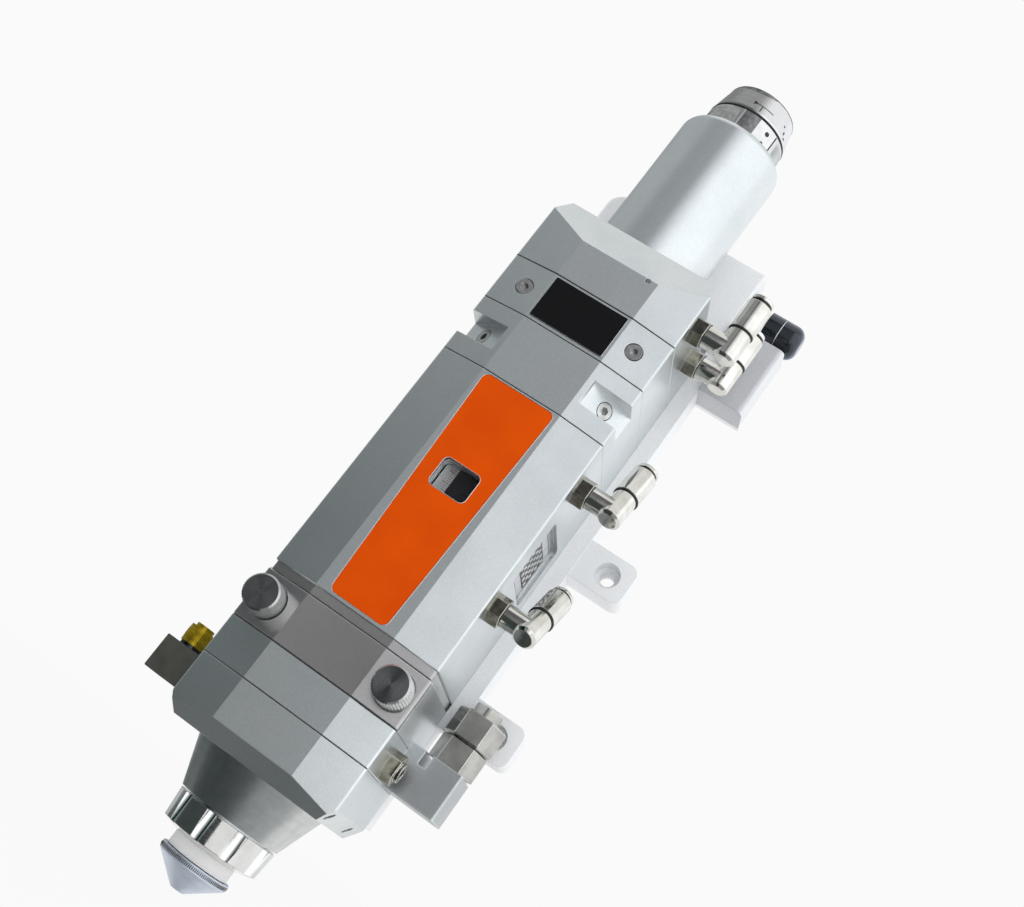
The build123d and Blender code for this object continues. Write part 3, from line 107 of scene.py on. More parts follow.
def grained(tree, shader, heights, strength, depth, edge=0.0):
    """Small relief on a finish: the heights are added up, over an edge rounded by the given radius."""
    total = heights[0]
    for height in heights[1:]:
        add = node(tree, "ShaderNodeMath", operation="ADD")
        tree.links.new(total, add.inputs[0])
        tree.links.new(height, add.inputs[1])
        total = add.outputs[0]
    bump = node(tree, "ShaderNodeBump")
    bump.inputs["Strength"].default_value = strength
    bump.inputs["Distance"].default_value = depth
    tree.links.new(total, bump.inputs["Height"])
    if edge:
        bevel = node(tree, "ShaderNodeBevel", samples=4)
        bevel.inputs["Radius"].default_value = edge
        tree.links.new(bevel.outputs["Normal"], bump.inputs["Normal"])
    tree.links.new(bump.outputs["Normal"], shader.inputs["Normal"])


def edge_share(tree, radius, gain=6.0):
    """How near a point is to a sharp edge, from 0 to 1."""
    bevel = node(tree, "ShaderNodeBevel", samples=4)
    bevel.inputs["Radius"].default_value = radius
    flat = node(tree, "ShaderNodeNewGeometry")
    alike = node(tree, "ShaderNodeVectorMath", operation="DOT_PRODUCT")
    tree.links.new(bevel.outputs["Normal"], alike.inputs[0])
    tree.links.new(flat.outputs["True Normal"], alike.inputs[1])
    return between(tree, alike.outputs["Value"], 1.0, 0.0, start=1 - 1 / gain, end=1.0)


def paint_light_by_facing(material, axis, start, end, colour):
    """Painted highlight: a paler colour over a finish as its surface turns along an axis, none up to start, all from
    end on.
    """
    tree = material.node_tree
    way, split = node(tree, "ShaderNodeNewGeometry"), node(tree, "ShaderNodeSeparateXYZ")
    tree.links.new(way.outputs["True Normal"], split.inputs[0])
    share = between(tree, split.outputs[axis], 0.0, 1.0, start=start, end=end)
    base = tree.nodes["Principled BSDF"].inputs["Base Color"]
    tree.links.new(mixed(tree, share, base.links[0].from_socket, colour), base)


def anodised_finish(name, pale, deep, roughness, metallic=0.88, abrasion_and_highlight=edge_abrasion_and_highlight):
    """Blasted, anodised aluminium: fine grain, faint clouds, edges lighter, partly abraded, partly painted highlight.
    """
    material, tree, shader = finish_of(name, pale, metallic=metallic, roughness=roughness)
    clouds, grain = pattern(tree, cloud_scale, detail=4), pattern(tree, grain_scale, detail=3)
    cloudy = between(tree, clouds, deep, pale, start=0.3, end=0.7)
    specks = between(tree, grain, (0.86, 0.86, 0.86), (1.0, 1.0, 1.0))
    speckled = mixed(tree, 0.55, cloudy, specks, blend="MULTIPLY")
    # Edges are mixed to a light grey: partly abraded metal and partly a painted highlight.
    abraded_and_highlit = mixed(tree, edge_share(tree, abrasion_and_highlight), speckled, (0.80, 0.82, 0.83))
    tree.links.new(abraded_and_highlit, shader.inputs["Base Color"])
    tree.links.new(between(tree, clouds, roughness + 0.03, roughness - 0.03), shader.inputs["Roughness"])
    grained(tree, shader, [grain, pattern(tree, dust_scale, detail=1)], 0.22, 0.00003, edge=0.00035)
    return material


def dress(material, *piece_names):
    """Gives pieces of the part their finish."""
    for piece_name in piece_names:
        nodes[piece_name].material_slots[0].material = material


satin = anodised_finish("satin_anodising", (0.72, 0.75, 0.76), (0.64, 0.68, 0.69), 0.31)
matt = anodised_finish("matt_anodising", (0.94, 0.955, 0.97), (0.91, 0.925, 0.945), 0.5, metallic=0.1)
# The gas block takes a darker copy of the satin anodising as painted shade, its edges lightened over a wider band.
gas_block_shaded_anodising = anodised_finish("shaded_anodising", (0.50, 0.515, 0.525), (0.44, 0.46, 0.47), 0.31, abrasion_and_highlight=0.0012)
dress(satin, *block_pieces)
dress(matt, "back_plate", "rear_cover")
dress(gas_block_shaded_anodising, "gas_block")

# ------------------------------------------------------------------------------
# Seam shade between the blocks: black rubber cords laid in the small grooves where two blocks meet, as painted
# shade that draws the shadow line of each seam. The one under the cap is the thickest and shows as a black line.
# ------------------------------------------------------------------------------
half_w, front_y, back_y = 38.5 * mm, -79.0 * mm, -12.0 * mm
flat_half, facet_depth = 18.4 * mm, 3.6 * mm
seam_shade_levels = {"base": (-83.0 * mm, 0.11 * mm), "drawer": (-66.1 * mm, 0.12 * mm),
                 "upper": (67.8 * mm, 0.14 * mm), "clamp": (95.8 * mm, 0.17 * mm), "cap": (118.8 * mm, 0.30 * mm)}
front_sink, side_sink = 0.12 * mm, 0.36 * mm


def new_tree(name, inputs):
    """A Geometry Nodes tree with named inputs, its first and its last node."""
    tree = bpy.data.node_groups.new(name, "GeometryNodeTree")
    tree.interface.new_socket("Geometry", in_out="INPUT", socket_type="NodeSocketGeometry")
    for label, value in inputs.items():
        kind = {int: "Int", float: "Float", tuple: "Vector"}.get(type(value), "Material")
        socket = tree.interface.new_socket(label, in_out="INPUT", socket_type=f"NodeSocket{kind}")
        if value is not None:
            socket.default_value = value
    tree.interface.new_socket("Geometry", in_out="OUTPUT", socket_type="NodeSocketGeometry")
    return tree, node(tree, "NodeGroupInput"), node(tree, "NodeGroupOutput")


def finish_tree(tree, inputs, output, geometry, smooth):
    """Ends a tree: instances made real, shaded, and given the finish."""
    real = node(tree, "GeometryNodeRealizeInstances")
    shaded = node(tree, "GeometryNodeSetShadeSmooth")
    shaded.inputs["Shade Smooth"].default_value = smooth
    coated = node(tree, "GeometryNodeSetMaterial")
    tree.links.new(geometry, real.inputs[0])
    tree.links.new(real.outputs[0], shaded.inputs[0])
    tree.links.new(shaded.outputs[0], coated.inputs["Geometry"])
    tree.links.new(inputs.outputs["Finish"], coated.inputs["Material"])
    tree.links.new(coated.outputs["Geometry"], output.inputs["Geometry"])


def made_by(tree, name, body, slot, start=None, **values):
    """The plain mesh that a tree makes, riding on a body and taking its finish from the tree's inputs. The slot is
    not used.
    """
    piece = bpy.data.objects.new(name, start or bpy.data.meshes.new(name))
    scene.collection.objects.link(piece)
    modifier = piece.modifiers.new(name, "NODES")
    modifier.node_group = tree
    for item in tree.interface.items_tree:
        if item.in_out == "INPUT" and item.name in values:
            modifier[item.identifier] = values[item.name]
    piece.update_tag()
    bpy.context.view_layer.update()
    made = bpy.data.meshes.new_from_object(piece.evaluated_get(bpy.context.evaluated_depsgraph_get()))
    piece.modifiers.clear()
    piece.data = made
    made.name = name
    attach(piece, body)


def swept(tree, inputs, curve, radius_label):
    """The mesh of a round cord along a curve, its radius taken from an input of the tree."""
    profile, sweep = node(tree, "GeometryNodeCurvePrimitiveCircle"), node(tree, "GeometryNodeCurveToMesh")
    profile.inputs["Resolution"].default_value = 8
    tree.links.new(inputs.outputs[radius_label], profile.inputs["Radius"])
    tree.links.new(curve, sweep.inputs["Curve"])
    tree.links.new(profile.outputs["Curve"], sweep.inputs["Profile Curve"])
    return sweep.outputs["Mesh"]


cord_tree, cord_in, cord_out = new_tree("cord_along_a_path", {"Radius": 0.0002, "Finish": None})
path_line = node(cord_tree, "GeometryNodeMeshToCurve")
cord_tree.links.new(cord_in.outputs["Geometry"], path_line.inputs["Mesh"])
finish_tree(cord_tree, cord_in, cord_out, swept(cord_tree, cord_in, path_line.outputs["Curve"], "Radius"), True)


def cord(name, slot, points, radius, finish, closed=True):
    """A round cord on the head, through the points."""
    mesh = bpy.data.meshes.new(name)
    last = len(points) if closed else len(points) - 1
    mesh.from_pydata(points, [(i, (i + 1) % len(points)) for i in range(last)], [])
    made_by(cord_tree, name, "head", slot, start=mesh, Radius=radius, Finish=finish)


def varied(name, colour, roughness, metallic=0.0, tones=None, rough=None, relief=None, edge=0.0, bright=None,
           more=()):
    """A finish whose colour and roughness drift over fine relief. Tones and rough hold a low and a high value, relief
    a strength and a depth, each with the scale of its noise, and its detail and stretch where they aren't plain.
    Edges are rounded by edge, and lightened to the bright colour, partly abraded and partly a painted highlight.
    More sets other inputs of the shader."""
    material, tree, shader = finish_of(name, colour, metallic=metallic, roughness=roughness)
    if tones:
        low, high, *noise = tones
        drifting = between(tree, pattern(tree, *noise), low, high)
        if bright:
            drifting = mixed(tree, edge_share(tree, edge), drifting, bright)
        tree.links.new(drifting, shader.inputs["Base Color"])
    if rough:
        low, high, *noise = rough
        tree.links.new(between(tree, pattern(tree, *noise), low, high), shader.inputs["Roughness"])
    if relief:
        strength, depth, *noise = relief
        grained(tree, shader, [pattern(tree, *noise)], strength, depth, edge=edge)
    for label, value in more:
        shader.inputs[label].default_value = value
    return material


seam_shade = varied("black_rubber_and_seam_shade", (0.012, 0.013, 0.014), 0.55, rough=(0.45, 0.7, 900), relief=(0.3, 0.00003, 2400))
side, rear, face = half_w - side_sink, back_y - side_sink, front_y + front_sink
# Each cord is a black line of painted shade along a seam.
for seam_name, (level, cord_r) in seam_shade_levels.items():
    loop = [(-flat_half, face, level), (flat_half, face, level), (side, face + facet_depth, level),
            (side, rear, level), (-side, rear, level), (-side, face + facet_depth, level)]
    cord(f"gasket_{seam_name}", "seal_rubber", loop, cord_r, seam_shade)

# Grey cords fill the running gaps above and below the drawer's cover, as painted shade of the gaps. They stay on the
# head.
seam_line_levels = {"low": -65.95 * mm, "high": -43.99 * mm}
seam_line_r, seam_line_sink, seam_line_inset = 0.12 * mm, 0.42 * mm, 0.5 * mm
grey_seam_shade = varied("grey_seam_line_cord", (0.10, 0.10, 0.10), 0.6, tones=((0.07, 0.07, 0.07), (0.14, 0.14, 0.14), 700))
side, face = half_w - seam_line_inset, front_y + seam_line_sink
for lip_name, level in seam_line_levels.items():
    line = [(-side, face + facet_depth, level), (-flat_half, face, level), (flat_half, face, level),
            (side, face + facet_depth, level)]
    cord(f"drawer_seam_shade_{lip_name}", "seal_rubber", line, seam_line_r, grey_seam_shade, closed=False)

# ------------------------------------------------------------------------------
# Window drawer: its cover and the band above it are anodised a darker grey than the blocks. Two knurled steel thumb
# screws hold it; their faces were turned on a lathe, which leaves fine rings that catch the light as two fans.
# ------------------------------------------------------------------------------
thumb_x, thumb_z = 30.0 * mm, -55.05 * mm
drawer_finish = anodised_finish("grey_anodising", (0.44, 0.43, 0.435), (0.39, 0.38, 0.385), 0.2, metallic=0.75)
# Faces of the cover turned to the right are painted pale: a painted highlight from the key light.
paint_light_by_facing(drawer_finish, "X", 0.8, 0.95, (0.74, 0.76, 0.77))
dress(drawer_finish, "drawer_cover", "seal_band")


def turned_finish(name, colour, roughness, centre, axis, ring_scale=1900.0, anisotropy=0.75, dark=0.75, relief=0.25,
                  metallic=1.0):
    """Metal from a lathe: rings round an axis through the centre, and light that fans out from it."""
    material, tree, shader = finish_of(name, colour, metallic=metallic, roughness=roughness)
    place = node(tree, "ShaderNodeTexCoord")
    centred = node(tree, "ShaderNodeMapping", vector_type="POINT")
    centred.inputs["Location"].default_value = tuple(-v for v in centre)
    flat = node(tree, "ShaderNodeVectorMath", operation="MULTIPLY")
    flat.inputs[1].default_value = tuple(0.0 if label == axis else 1.0 for label in "XYZ")
    reach = node(tree, "ShaderNodeVectorMath", operation="LENGTH")
    rings = node(tree, "ShaderNodeTexNoise", noise_dimensions="1D")
    rings.inputs["Scale"].default_value = ring_scale
    rings.inputs["Detail"].default_value = 3
    tree.links.new(place.outputs["Object"], centred.inputs["Vector"])
    tree.links.new(centred.outputs["Vector"], flat.inputs[0])
    tree.links.new(flat.outputs["Vector"], reach.inputs[0])
    tree.links.new(reach.outputs["Value"], rings.inputs["W"])
    deep = tuple(dark * c for c in colour)
    stained = mixed(tree, 0.5, between(tree, rings.outputs["Fac"], deep, colour),
                    between(tree, pattern(tree, 260), (0.8, 0.8, 0.8), (1.0, 1.0, 1.0)), blend="MULTIPLY")
    tree.links.new(stained, shader.inputs["Base Color"])
    shader.inputs["Anisotropic"].default_value = anisotropy
    shader.inputs["Anisotropic Rotation"].default_value = 0.25
    tangent = node(tree, "ShaderNodeTangent", direction_type="RADIAL", axis=axis)
    tree.links.new(tangent.outputs["Tangent"], shader.inputs["Tangent"])
    grained(tree, shader, [rings.outputs["Fac"]], relief, 0.00002)
    return material


for side_name, side_x in (("left", -thumb_x), ("right", thumb_x)):
    spun = turned_finish(f"turned_steel_{side_name}", (0.24, 0.24, 0.245), 0.24, (side_x, 0, thumb_z), "Y",
                         anisotropy=0.95, relief=0.12)
    # The sides of the thumb screws are painted pale: a painted highlight on the knurl.
    paint_light_by_facing(spun, "Y", -0.9, -0.5, (0.82, 0.83, 0.82))
    dress(spun, f"thumb_screw_{side_name}")

# ------------------------------------------------------------------------------
# Orange plate in the front of the main housing: thin painted aluminium, tapered, with rounded corners and a bright
# cut edge. It is left bare of print. The clear pane in it shows the scale strip on the focus carriage.
# ------------------------------------------------------------------------------
label_low_z, label_high_z = -38.8 * mm, 67.0 * mm
label_low_half, label_high_half = 13.2 * mm, 16.8 * mm
label_round, label_edge_r, label_edge_sink = 3.0 * mm, 0.13 * mm, 0.05 * mm
scale_mid, scale_half = (0.0, 22.9 * mm), (8.6 * mm, 6.7 * mm)
scale_round, scale_edge_r, scale_edge_sink = 2.5 * mm, 0.18 * mm, 0.08 * mm


def oblong(middle, half):
    """Corners of a rectangle, from its middle and its half sizes."""
    (across, up), (half_across, half_up) = middle, half
    return [(across - half_across, up - half_up), (across + half_across, up - half_up),
            (across + half_across, up + half_up), (across - half_across, up + half_up)]


def rounded(corners, radius, steps=6):
    """A closed path through the corners, each rounded off, in two dimensions."""
    points = []
    for i, corner in enumerate(corners):
        here = Vector(corner)
        before, after = Vector(corners[i - 1]) - here, Vector(corners[(i + 1) % len(corners)]) - here
        before.normalize()
        after.normalize()
        half = before.angle(after) / 2
        cut = radius * cos(half) / sin(half)
        middle = here + (before + after).normalized() * radius / sin(half)
        start, end = here + before * cut - middle, here + after * cut - middle
        turn = start.angle_signed(end)
        for step in range(steps + 1):
            points.append(middle + Matrix.Rotation(-turn * step / steps, 2) @ start)
    return points


orange = varied("orange_paint", (0.69, 0.078, 0.001), 0.42, rough=(0.38, 0.46, 420),
                tones=((0.66, 0.069, 0.0004), (0.72, 0.081, 0.0004), 60, 3),
                relief=(0.12, 0.00003, 1300), edge=0.0003, more=[("Specular IOR Level", 0.03)])
dress(orange, "label_plate")
cut_edge = varied("bright_cut_edge", (0.82, 0.83, 0.84), 0.28, 1.0, rough=(0.22, 0.36, 700))
label_path = rounded([(-label_low_half, label_low_z), (label_low_half, label_low_z),
                      (label_high_half, label_high_z), (-label_high_half, label_high_z)], label_round)
cord("label_edge", "anodised", [(x, front_y + label_edge_sink, z) for x, z in label_path], label_edge_r, cut_edge)
frame_path = rounded(oblong(scale_mid, scale_half), scale_round)
cord("scale_frame", "anodised", [(x, front_y + scale_edge_sink, z) for x, z in frame_path], scale_edge_r, cut_edge)
pane = varied("clear_pane", (0.05, 0.05, 0.055), 0.06, rough=(0.04, 0.10, 300), more=[("IOR", 1.49), ("Alpha", 0.05)])
dress(pane, "scale_window")

# The strip behind the pane is satin steel with etched divisions. It is glued to the carriage and moves with it.
studs_tree, studs_in, studs_out = new_tree("studs_in_rows", {
    "Across": 2, "Up": 2, "Width": 0.01, "Height": 0.01, "Tip": 1.0, "Stud": (0.001, 0.001, 0.001),
    "Place": (0.0, 0.0, 0.0), "Turn": (0.0, 0.0, 0.0), "Finish": None})


def stud_form(tree, inputs):
    """A four-sided stud one unit wide and high, narrowed at its tip, then sized."""
    stud = node(tree, "GeometryNodeMeshCone")
    stud.inputs["Vertices"].default_value = 4
    stud.inputs["Radius Bottom"].default_value = 0.5 ** 0.5
    stud.inputs["Depth"].default_value = 1.0
    tip = node(tree, "ShaderNodeMath", operation="MULTIPLY")
    tip.inputs[1].default_value = 0.5 ** 0.5
    tree.links.new(inputs.outputs["Tip"], tip.inputs[0])
    tree.links.new(tip.outputs[0], stud.inputs["Radius Top"])
    square = node(tree, "GeometryNodeTransform")
    square.inputs["Rotation"].default_value = (0, 0, pi / 4)
    sized = node(tree, "GeometryNodeTransform")
    tree.links.new(stud.outputs["Mesh"], square.inputs["Geometry"])
    tree.links.new(square.outputs["Geometry"], sized.inputs["Geometry"])
    tree.links.new(inputs.outputs["Stud"], sized.inputs["Scale"])
    return sized.outputs["Geometry"]


def placed(tree, inputs, geometry):
    """The geometry turned and put in its place by the tree's inputs."""
    move = node(tree, "GeometryNodeTransform")
    tree.links.new(geometry, move.inputs["Geometry"])
    tree.links.new(inputs.outputs["Turn"], move.inputs["Rotation"])
    tree.links.new(inputs.outputs["Place"], move.inputs["Translation"])
    return move.outputs["Geometry"]


grid = node(studs_tree, "GeometryNodeMeshGrid")
for label, socket in (("Width", "Size X"), ("Height", "Size Y"), ("Across", "Vertices X"), ("Up", "Vertices Y")):
    studs_tree.links.new(studs_in.outputs[label], grid.inputs[socket])
on_grid = node(studs_tree, "GeometryNodeInstanceOnPoints")
studs_tree.links.new(grid.outputs["Mesh"], on_grid.inputs["Points"])
studs_tree.links.new(stud_form(studs_tree, studs_in), on_grid.inputs["Instance"])
finish_tree(studs_tree, studs_in, studs_out, placed(studs_tree, studs_in, on_grid.outputs["Instances"]), False)

strip_steel = varied("scale_steel", (0.62, 0.63, 0.64), 0.38, 0.7, tones=((0.5, 0.51, 0.52), (0.66, 0.67, 0.68), 90),
                     rough=(0.3, 0.5, 500, 2, (8, 1, 1)))
etched = varied("etched_black", (0.02, 0.02, 0.022), 0.6, rough=(0.5, 0.7, 800))
carriage_y = -71.0 * mm
strip_x, strip_z, strip_half, strip_t = -5.4 * mm, 22.0 * mm, (2.8 * mm, 11.0 * mm), 0.45 * mm
strip_round, scale_h = 0.6 * mm, 20.0 * mm
facing_front = (pi / 2, 0, 0)


def mesh_piece(name, form, material, body, slot):
    """A closed form made a mesh and put in the scene with its finish and body. The slot is not used."""
    bmesh.ops.recalc_face_normals(form, faces=form.faces)
    mesh = bpy.data.meshes.new(name)
    form.to_mesh(mesh)
    form.free()
    mesh.materials.append(material)
    piece = bpy.data.objects.new(name, mesh)
    scene.collection.objects.link(piece)
    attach(piece, body)


def plate(name, corners, depth, away, *rest):
    """A flat closed plate: its outline, how far it goes away from it, and its finish, body and slot."""
    form = bmesh.new()
    face = form.faces.new([form.verts.new(corner) for corner in corners])
    grown = bmesh.ops.extrude_face_region(form, geom=[face])
    moved = [v for v in grown["geom"] if isinstance(v, bmesh.types.BMVert)]
    bmesh.ops.translate(form, vec=Vector(away) * depth, verts=moved)
    mesh_piece(name, form, *rest)


strip_outline = rounded(oblong((strip_x, strip_z), strip_half), strip_round, steps=3)
plate("scale_strip", [(x, carriage_y, z) for x, z in strip_outline], strip_t, (0, -1, 0), strip_steel, "carriage",
      "rod_steel")
for division_name, count, aside, stud in (("scale_divisions", 21, 1.7 * mm, (1.8 * mm, 0.14 * mm, 0.06 * mm)),
                                          ("scale_main_divisions", 5, 1.0 * mm, (3.2 * mm, 0.2 * mm, 0.07 * mm))):
    made_by(studs_tree, division_name, "carriage", "inner_black", Across=1, Up=count, Width=0.0, Height=scale_h,
            Stud=stud, Place=(strip_x + aside, carriage_y - strip_t, strip_z), Turn=facing_front, Finish=etched)

# ------------------------------------------------------------------------------
# Focus drive behind the side window: the carriage is black anodised and runs on ground steel rods, and a steel screw
# turns in its bronze nut under the motor. A pale insert with a knurled steel field lies just behind the clear pane.
# ------------------------------------------------------------------------------
black_anodised = varied("black_anodising", (0.03, 0.031, 0.033), 0.45, 0.6, relief=(0.2, 0.00003, 1800), edge=0.0003,
                        tones=((0.022, 0.022, 0.024), (0.045, 0.046, 0.05), 120, 3))
dress(black_anodised, "focus_carriage", "drawer_frame", "collimator_cell", "focus_ring", "collimator_ring",
      "window_ring")
ground_steel = varied("ground_steel", (0.62, 0.62, 0.61), 0.2, 1.0, rough=(0.14, 0.3, 220, 2, (1, 1, 14)),
                      relief=(0.1, 0.00002, 900, 2, (1, 1, 10)))
dress(ground_steel, "guide_rods", "lead_screw")
bronze = varied("turned_bronze", (0.50, 0.30, 0.12), 0.34, 1.0, relief=(0.2, 0.00003, 1200, 2, (1, 1, 8)),
                tones=((0.40, 0.23, 0.09), (0.56, 0.34, 0.14), 160, 4))
dress(bronze, "lead_nut")
motor_steel = varied("motor_case", (0.16, 0.16, 0.17), 0.4, 0.8, rough=(0.34, 0.5, 240, 3),
                     relief=(0.15, 0.00003, 1000))
dress(motor_steel, "drive_motor")
coated_glass = varied("coated_glass", (0.93, 0.97, 0.98), 0.01, rough=(0.0, 0.03, 180),
                      more=[("Transmission Weight", 1.0), ("IOR", 1.46), ("Coat Weight", 0.4),
                            ("Coat Tint", (0.75, 0.62, 0.95, 1))])
dress(coated_glass, "focus_lens", "collimator_lens", "protective_window")
dress(seam_shade, "window_seal")
side_pane = varied("side_pane", (0.5, 0.52, 0.55), 0.08, rough=(0.05, 0.14, 300),
                   more=[("IOR", 1.49), ("Alpha", 0.07)])
dress(side_pane, "side_window")

insert_y, insert_z, insert_half_y, insert_half_z = -43.0 * mm, 21.0 * mm, 16.3 * mm, 11.8 * mm
insert_x, insert_t, insert_round = 35.1 * mm, 0.7 * mm, 1.7 * mm
field_z, field_half_z, field_t = 21.1 * mm, 7.7 * mm, 0.15 * mm
knurl_pitch_y, knurl_pitch_z, knurl_stud = 4.0 * mm, 6.6 * mm, (2.0 * mm, 3.2 * mm, 0.25 * mm)
facing_right = (0, pi / 2, 0)
pale_insert = varied("pale_insert", (0.66, 0.66, 0.72), 0.4, 0.3,
                     tones=((0.58, 0.58, 0.64), (0.72, 0.72, 0.78), 180, 3))
for insert_name, z, half_z, x, depth, material, slot in (
        ("insert_plate", insert_z, insert_half_z, insert_x, insert_t, pale_insert, "polished_steel"),
        ("insert_field", field_z, field_half_z, insert_x + insert_t, field_t, etched, "inner_black")):
    outline = rounded(oblong((insert_y, z), (insert_half_y, half_z)), insert_round, steps=4)
    plate(insert_name, [(x, along, up) for along, up in outline], depth, (1, 0, 0), material, "head", slot)
for knurl_name, across, up in (("odd", 4, 5), ("even", 3, 4)):
    made_by(studs_tree, f"insert_knurl_{knurl_name}", "head", "polished_steel", Across=across, Up=up,
            Width=(across - 1) * knurl_pitch_y, Height=(up - 1) * knurl_pitch_z, Tip=0.4, Stud=knurl_stud,
            Finish=ground_steel, Turn=facing_right, Place=(insert_x + insert_t + 0.27 * mm, insert_y, field_z))

# ------------------------------------------------------------------------------
# Upper block and clamp block: dull steel socket screws in the notches and beside a small black plate, which is left
# bare. The plate is thin anodised metal with a bright cut edge.
# ------------------------------------------------------------------------------
panel_mid, panel_half, panel_edge_y = (0.0, 107.5 * mm), (17.2 * mm, 10.0 * mm), -79.3 * mm
panel_round, panel_edge_r = 0.5 * mm, 0.11 * mm
screw_steel = varied("screw_steel", (0.52, 0.52, 0.51), 0.33, 1.0, relief=(0.2, 0.00003, 1500), edge=0.0003,
                     tones=((0.44, 0.44, 0.43), (0.60, 0.60, 0.59), 420, 3))
dress(screw_steel, "block_screws", "plate_screws")
black_plate = varied("black_plate", (0.006, 0.006, 0.007), 0.42, rough=(0.36, 0.5, 350, 3),
                     relief=(0.1, 0.00002, 1400), edge=0.0002, more=[("Specular IOR Level", 0.1)])
dress(black_plate, "black_panel")
panel_path = rounded(oblong(panel_mid, panel_half), panel_round, steps=3)
cord("panel_edge", "black_plate", [(x, panel_edge_y, z) for x, z in panel_path], panel_edge_r, cut_edge)

# ------------------------------------------------------------------------------
# Fibre receptacle: a turned steel base ring with a finely knurled sector, and a tapered ring that is turned to lock
# the fibre plug. The lock ring has an etched arrow, and dark grooves above and below it.
# ------------------------------------------------------------------------------
axis_y = -43.0 * mm
base_ring_r, base_ring_z, base_ring_h = 19.3 * mm, 229.5 * mm, 11.0 * mm
lock_z, taper_low_z, taper_high_z = 240.8 * mm, 242.4 * mm, 254.2 * mm
lock_low_r, lock_high_r = 19.0 * mm, 16.6 * mm
ring_tree, ring_in, ring_out = new_tree("studs_round_an_axis", {
    "Count": 8, "Radius": 0.01, "Start": 0.0, "Step": 0.1, "Tip": 1.0, "Stud": (0.001, 0.001, 0.001),
    "Place": (0.0, 0.0, 0.0), "Turn": (0.0, 0.0, 0.0), "Finish": None})
spots = node(ring_tree, "GeometryNodeMeshLine")
order = node(ring_tree, "GeometryNodeInputIndex")
angle = node(ring_tree, "ShaderNodeMath", operation="MULTIPLY_ADD")
spread = node(ring_tree, "GeometryNodeSetPosition")
heading = node(ring_tree, "ShaderNodeCombineXYZ")
heading.inputs["Y"].default_value = pi / 2
round_place = node(ring_tree, "ShaderNodeCombineXYZ")
for operation, label in (("COSINE", "X"), ("SINE", "Y")):
    share = node(ring_tree, "ShaderNodeMath", operation=operation)
    reach = node(ring_tree, "ShaderNodeMath", operation="MULTIPLY")
    ring_tree.links.new(angle.outputs[0], share.inputs[0])
    ring_tree.links.new(share.outputs[0], reach.inputs[0])
    ring_tree.links.new(ring_in.outputs["Radius"], reach.inputs[1])
    ring_tree.links.new(reach.outputs[0], round_place.inputs[label])
on_ring = node(ring_tree, "GeometryNodeInstanceOnPoints")
for source, target in ((ring_in.outputs["Count"], spots.inputs["Count"]), (order.outputs[0], angle.inputs[0]),
                       (ring_in.outputs["Step"], angle.inputs[1]), (ring_in.outputs["Start"], angle.inputs[2]),
                       (angle.outputs[0], heading.inputs["Z"]), (spots.outputs["Mesh"], spread.inputs["Geometry"]),
                       (round_place.outputs[0], spread.inputs["Position"]),
                       (spread.outputs["Geometry"], on_ring.inputs["Points"]),
                       (stud_form(ring_tree, ring_in), on_ring.inputs["Instance"]),
                       (heading.outputs[0], on_ring.inputs["Rotation"])):
    ring_tree.links.new(source, target)
finish_tree(ring_tree, ring_in, ring_out, placed(ring_tree, ring_in, on_ring.outputs["Instances"]), False)

hoop_tree, hoop_in, hoop_out = new_tree("hoop", {
    "Radius": 0.01, "Thickness": 0.0005, "Place": (0.0, 0.0, 0.0), "Turn": (0.0, 0.0, 0.0), "Finish": None})
hoop_line = node(hoop_tree, "GeometryNodeCurvePrimitiveCircle")
hoop_line.inputs["Resolution"].default_value = 72
hoop_tree.links.new(hoop_in.outputs["Radius"], hoop_line.inputs["Radius"])
hoop_form = swept(hoop_tree, hoop_in, hoop_line.outputs["Curve"], "Thickness")
finish_tree(hoop_tree, hoop_in, hoop_out, placed(hoop_tree, hoop_in, hoop_form), True)


def hoop(name, body, radius, thickness, place, turn=(0.0, 0.0, 0.0), slot="seal_rubber", finish=seam_shade):
    """A round ring, flat unless it is turned."""
    made_by(hoop_tree, name, body, slot, Radius=radius, Thickness=thickness, Place=place, Turn=turn, Finish=finish)


receptacle_steel = turned_finish("receptacle_steel", (0.70, 0.70, 0.70), 0.22, (0, axis_y, 0), "Z", ring_scale=900.0,
                                 anisotropy=0.5, dark=0.92, relief=0.08)
dress(receptacle_steel, "receptacle_base", "fibre_socket")
lock_steel = turned_finish("lock_ring_steel", (0.42, 0.42, 0.42), 0.26, (0, axis_y, 0), "Z", ring_scale=2200.0,
                           dark=0.92, relief=0.06)
# Faces of the lock ring turned to the right are painted pale: a painted highlight.
paint_light_by_facing(lock_steel, "X", 0.12, 0.36, (0.71, 0.71, 0.72))
dress(lock_steel, "fibre_lock_ring")
dark_steel = varied("knurled_dark_steel", (0.20, 0.20, 0.20), 0.4, 0.9,
                    tones=((0.15, 0.15, 0.15), (0.28, 0.28, 0.28), 500, 3))


def heading_of(azimuth):
    """The angle from +X of a place that is azimuth degrees from the front, towards the right."""
    return radians(azimuth - 90)


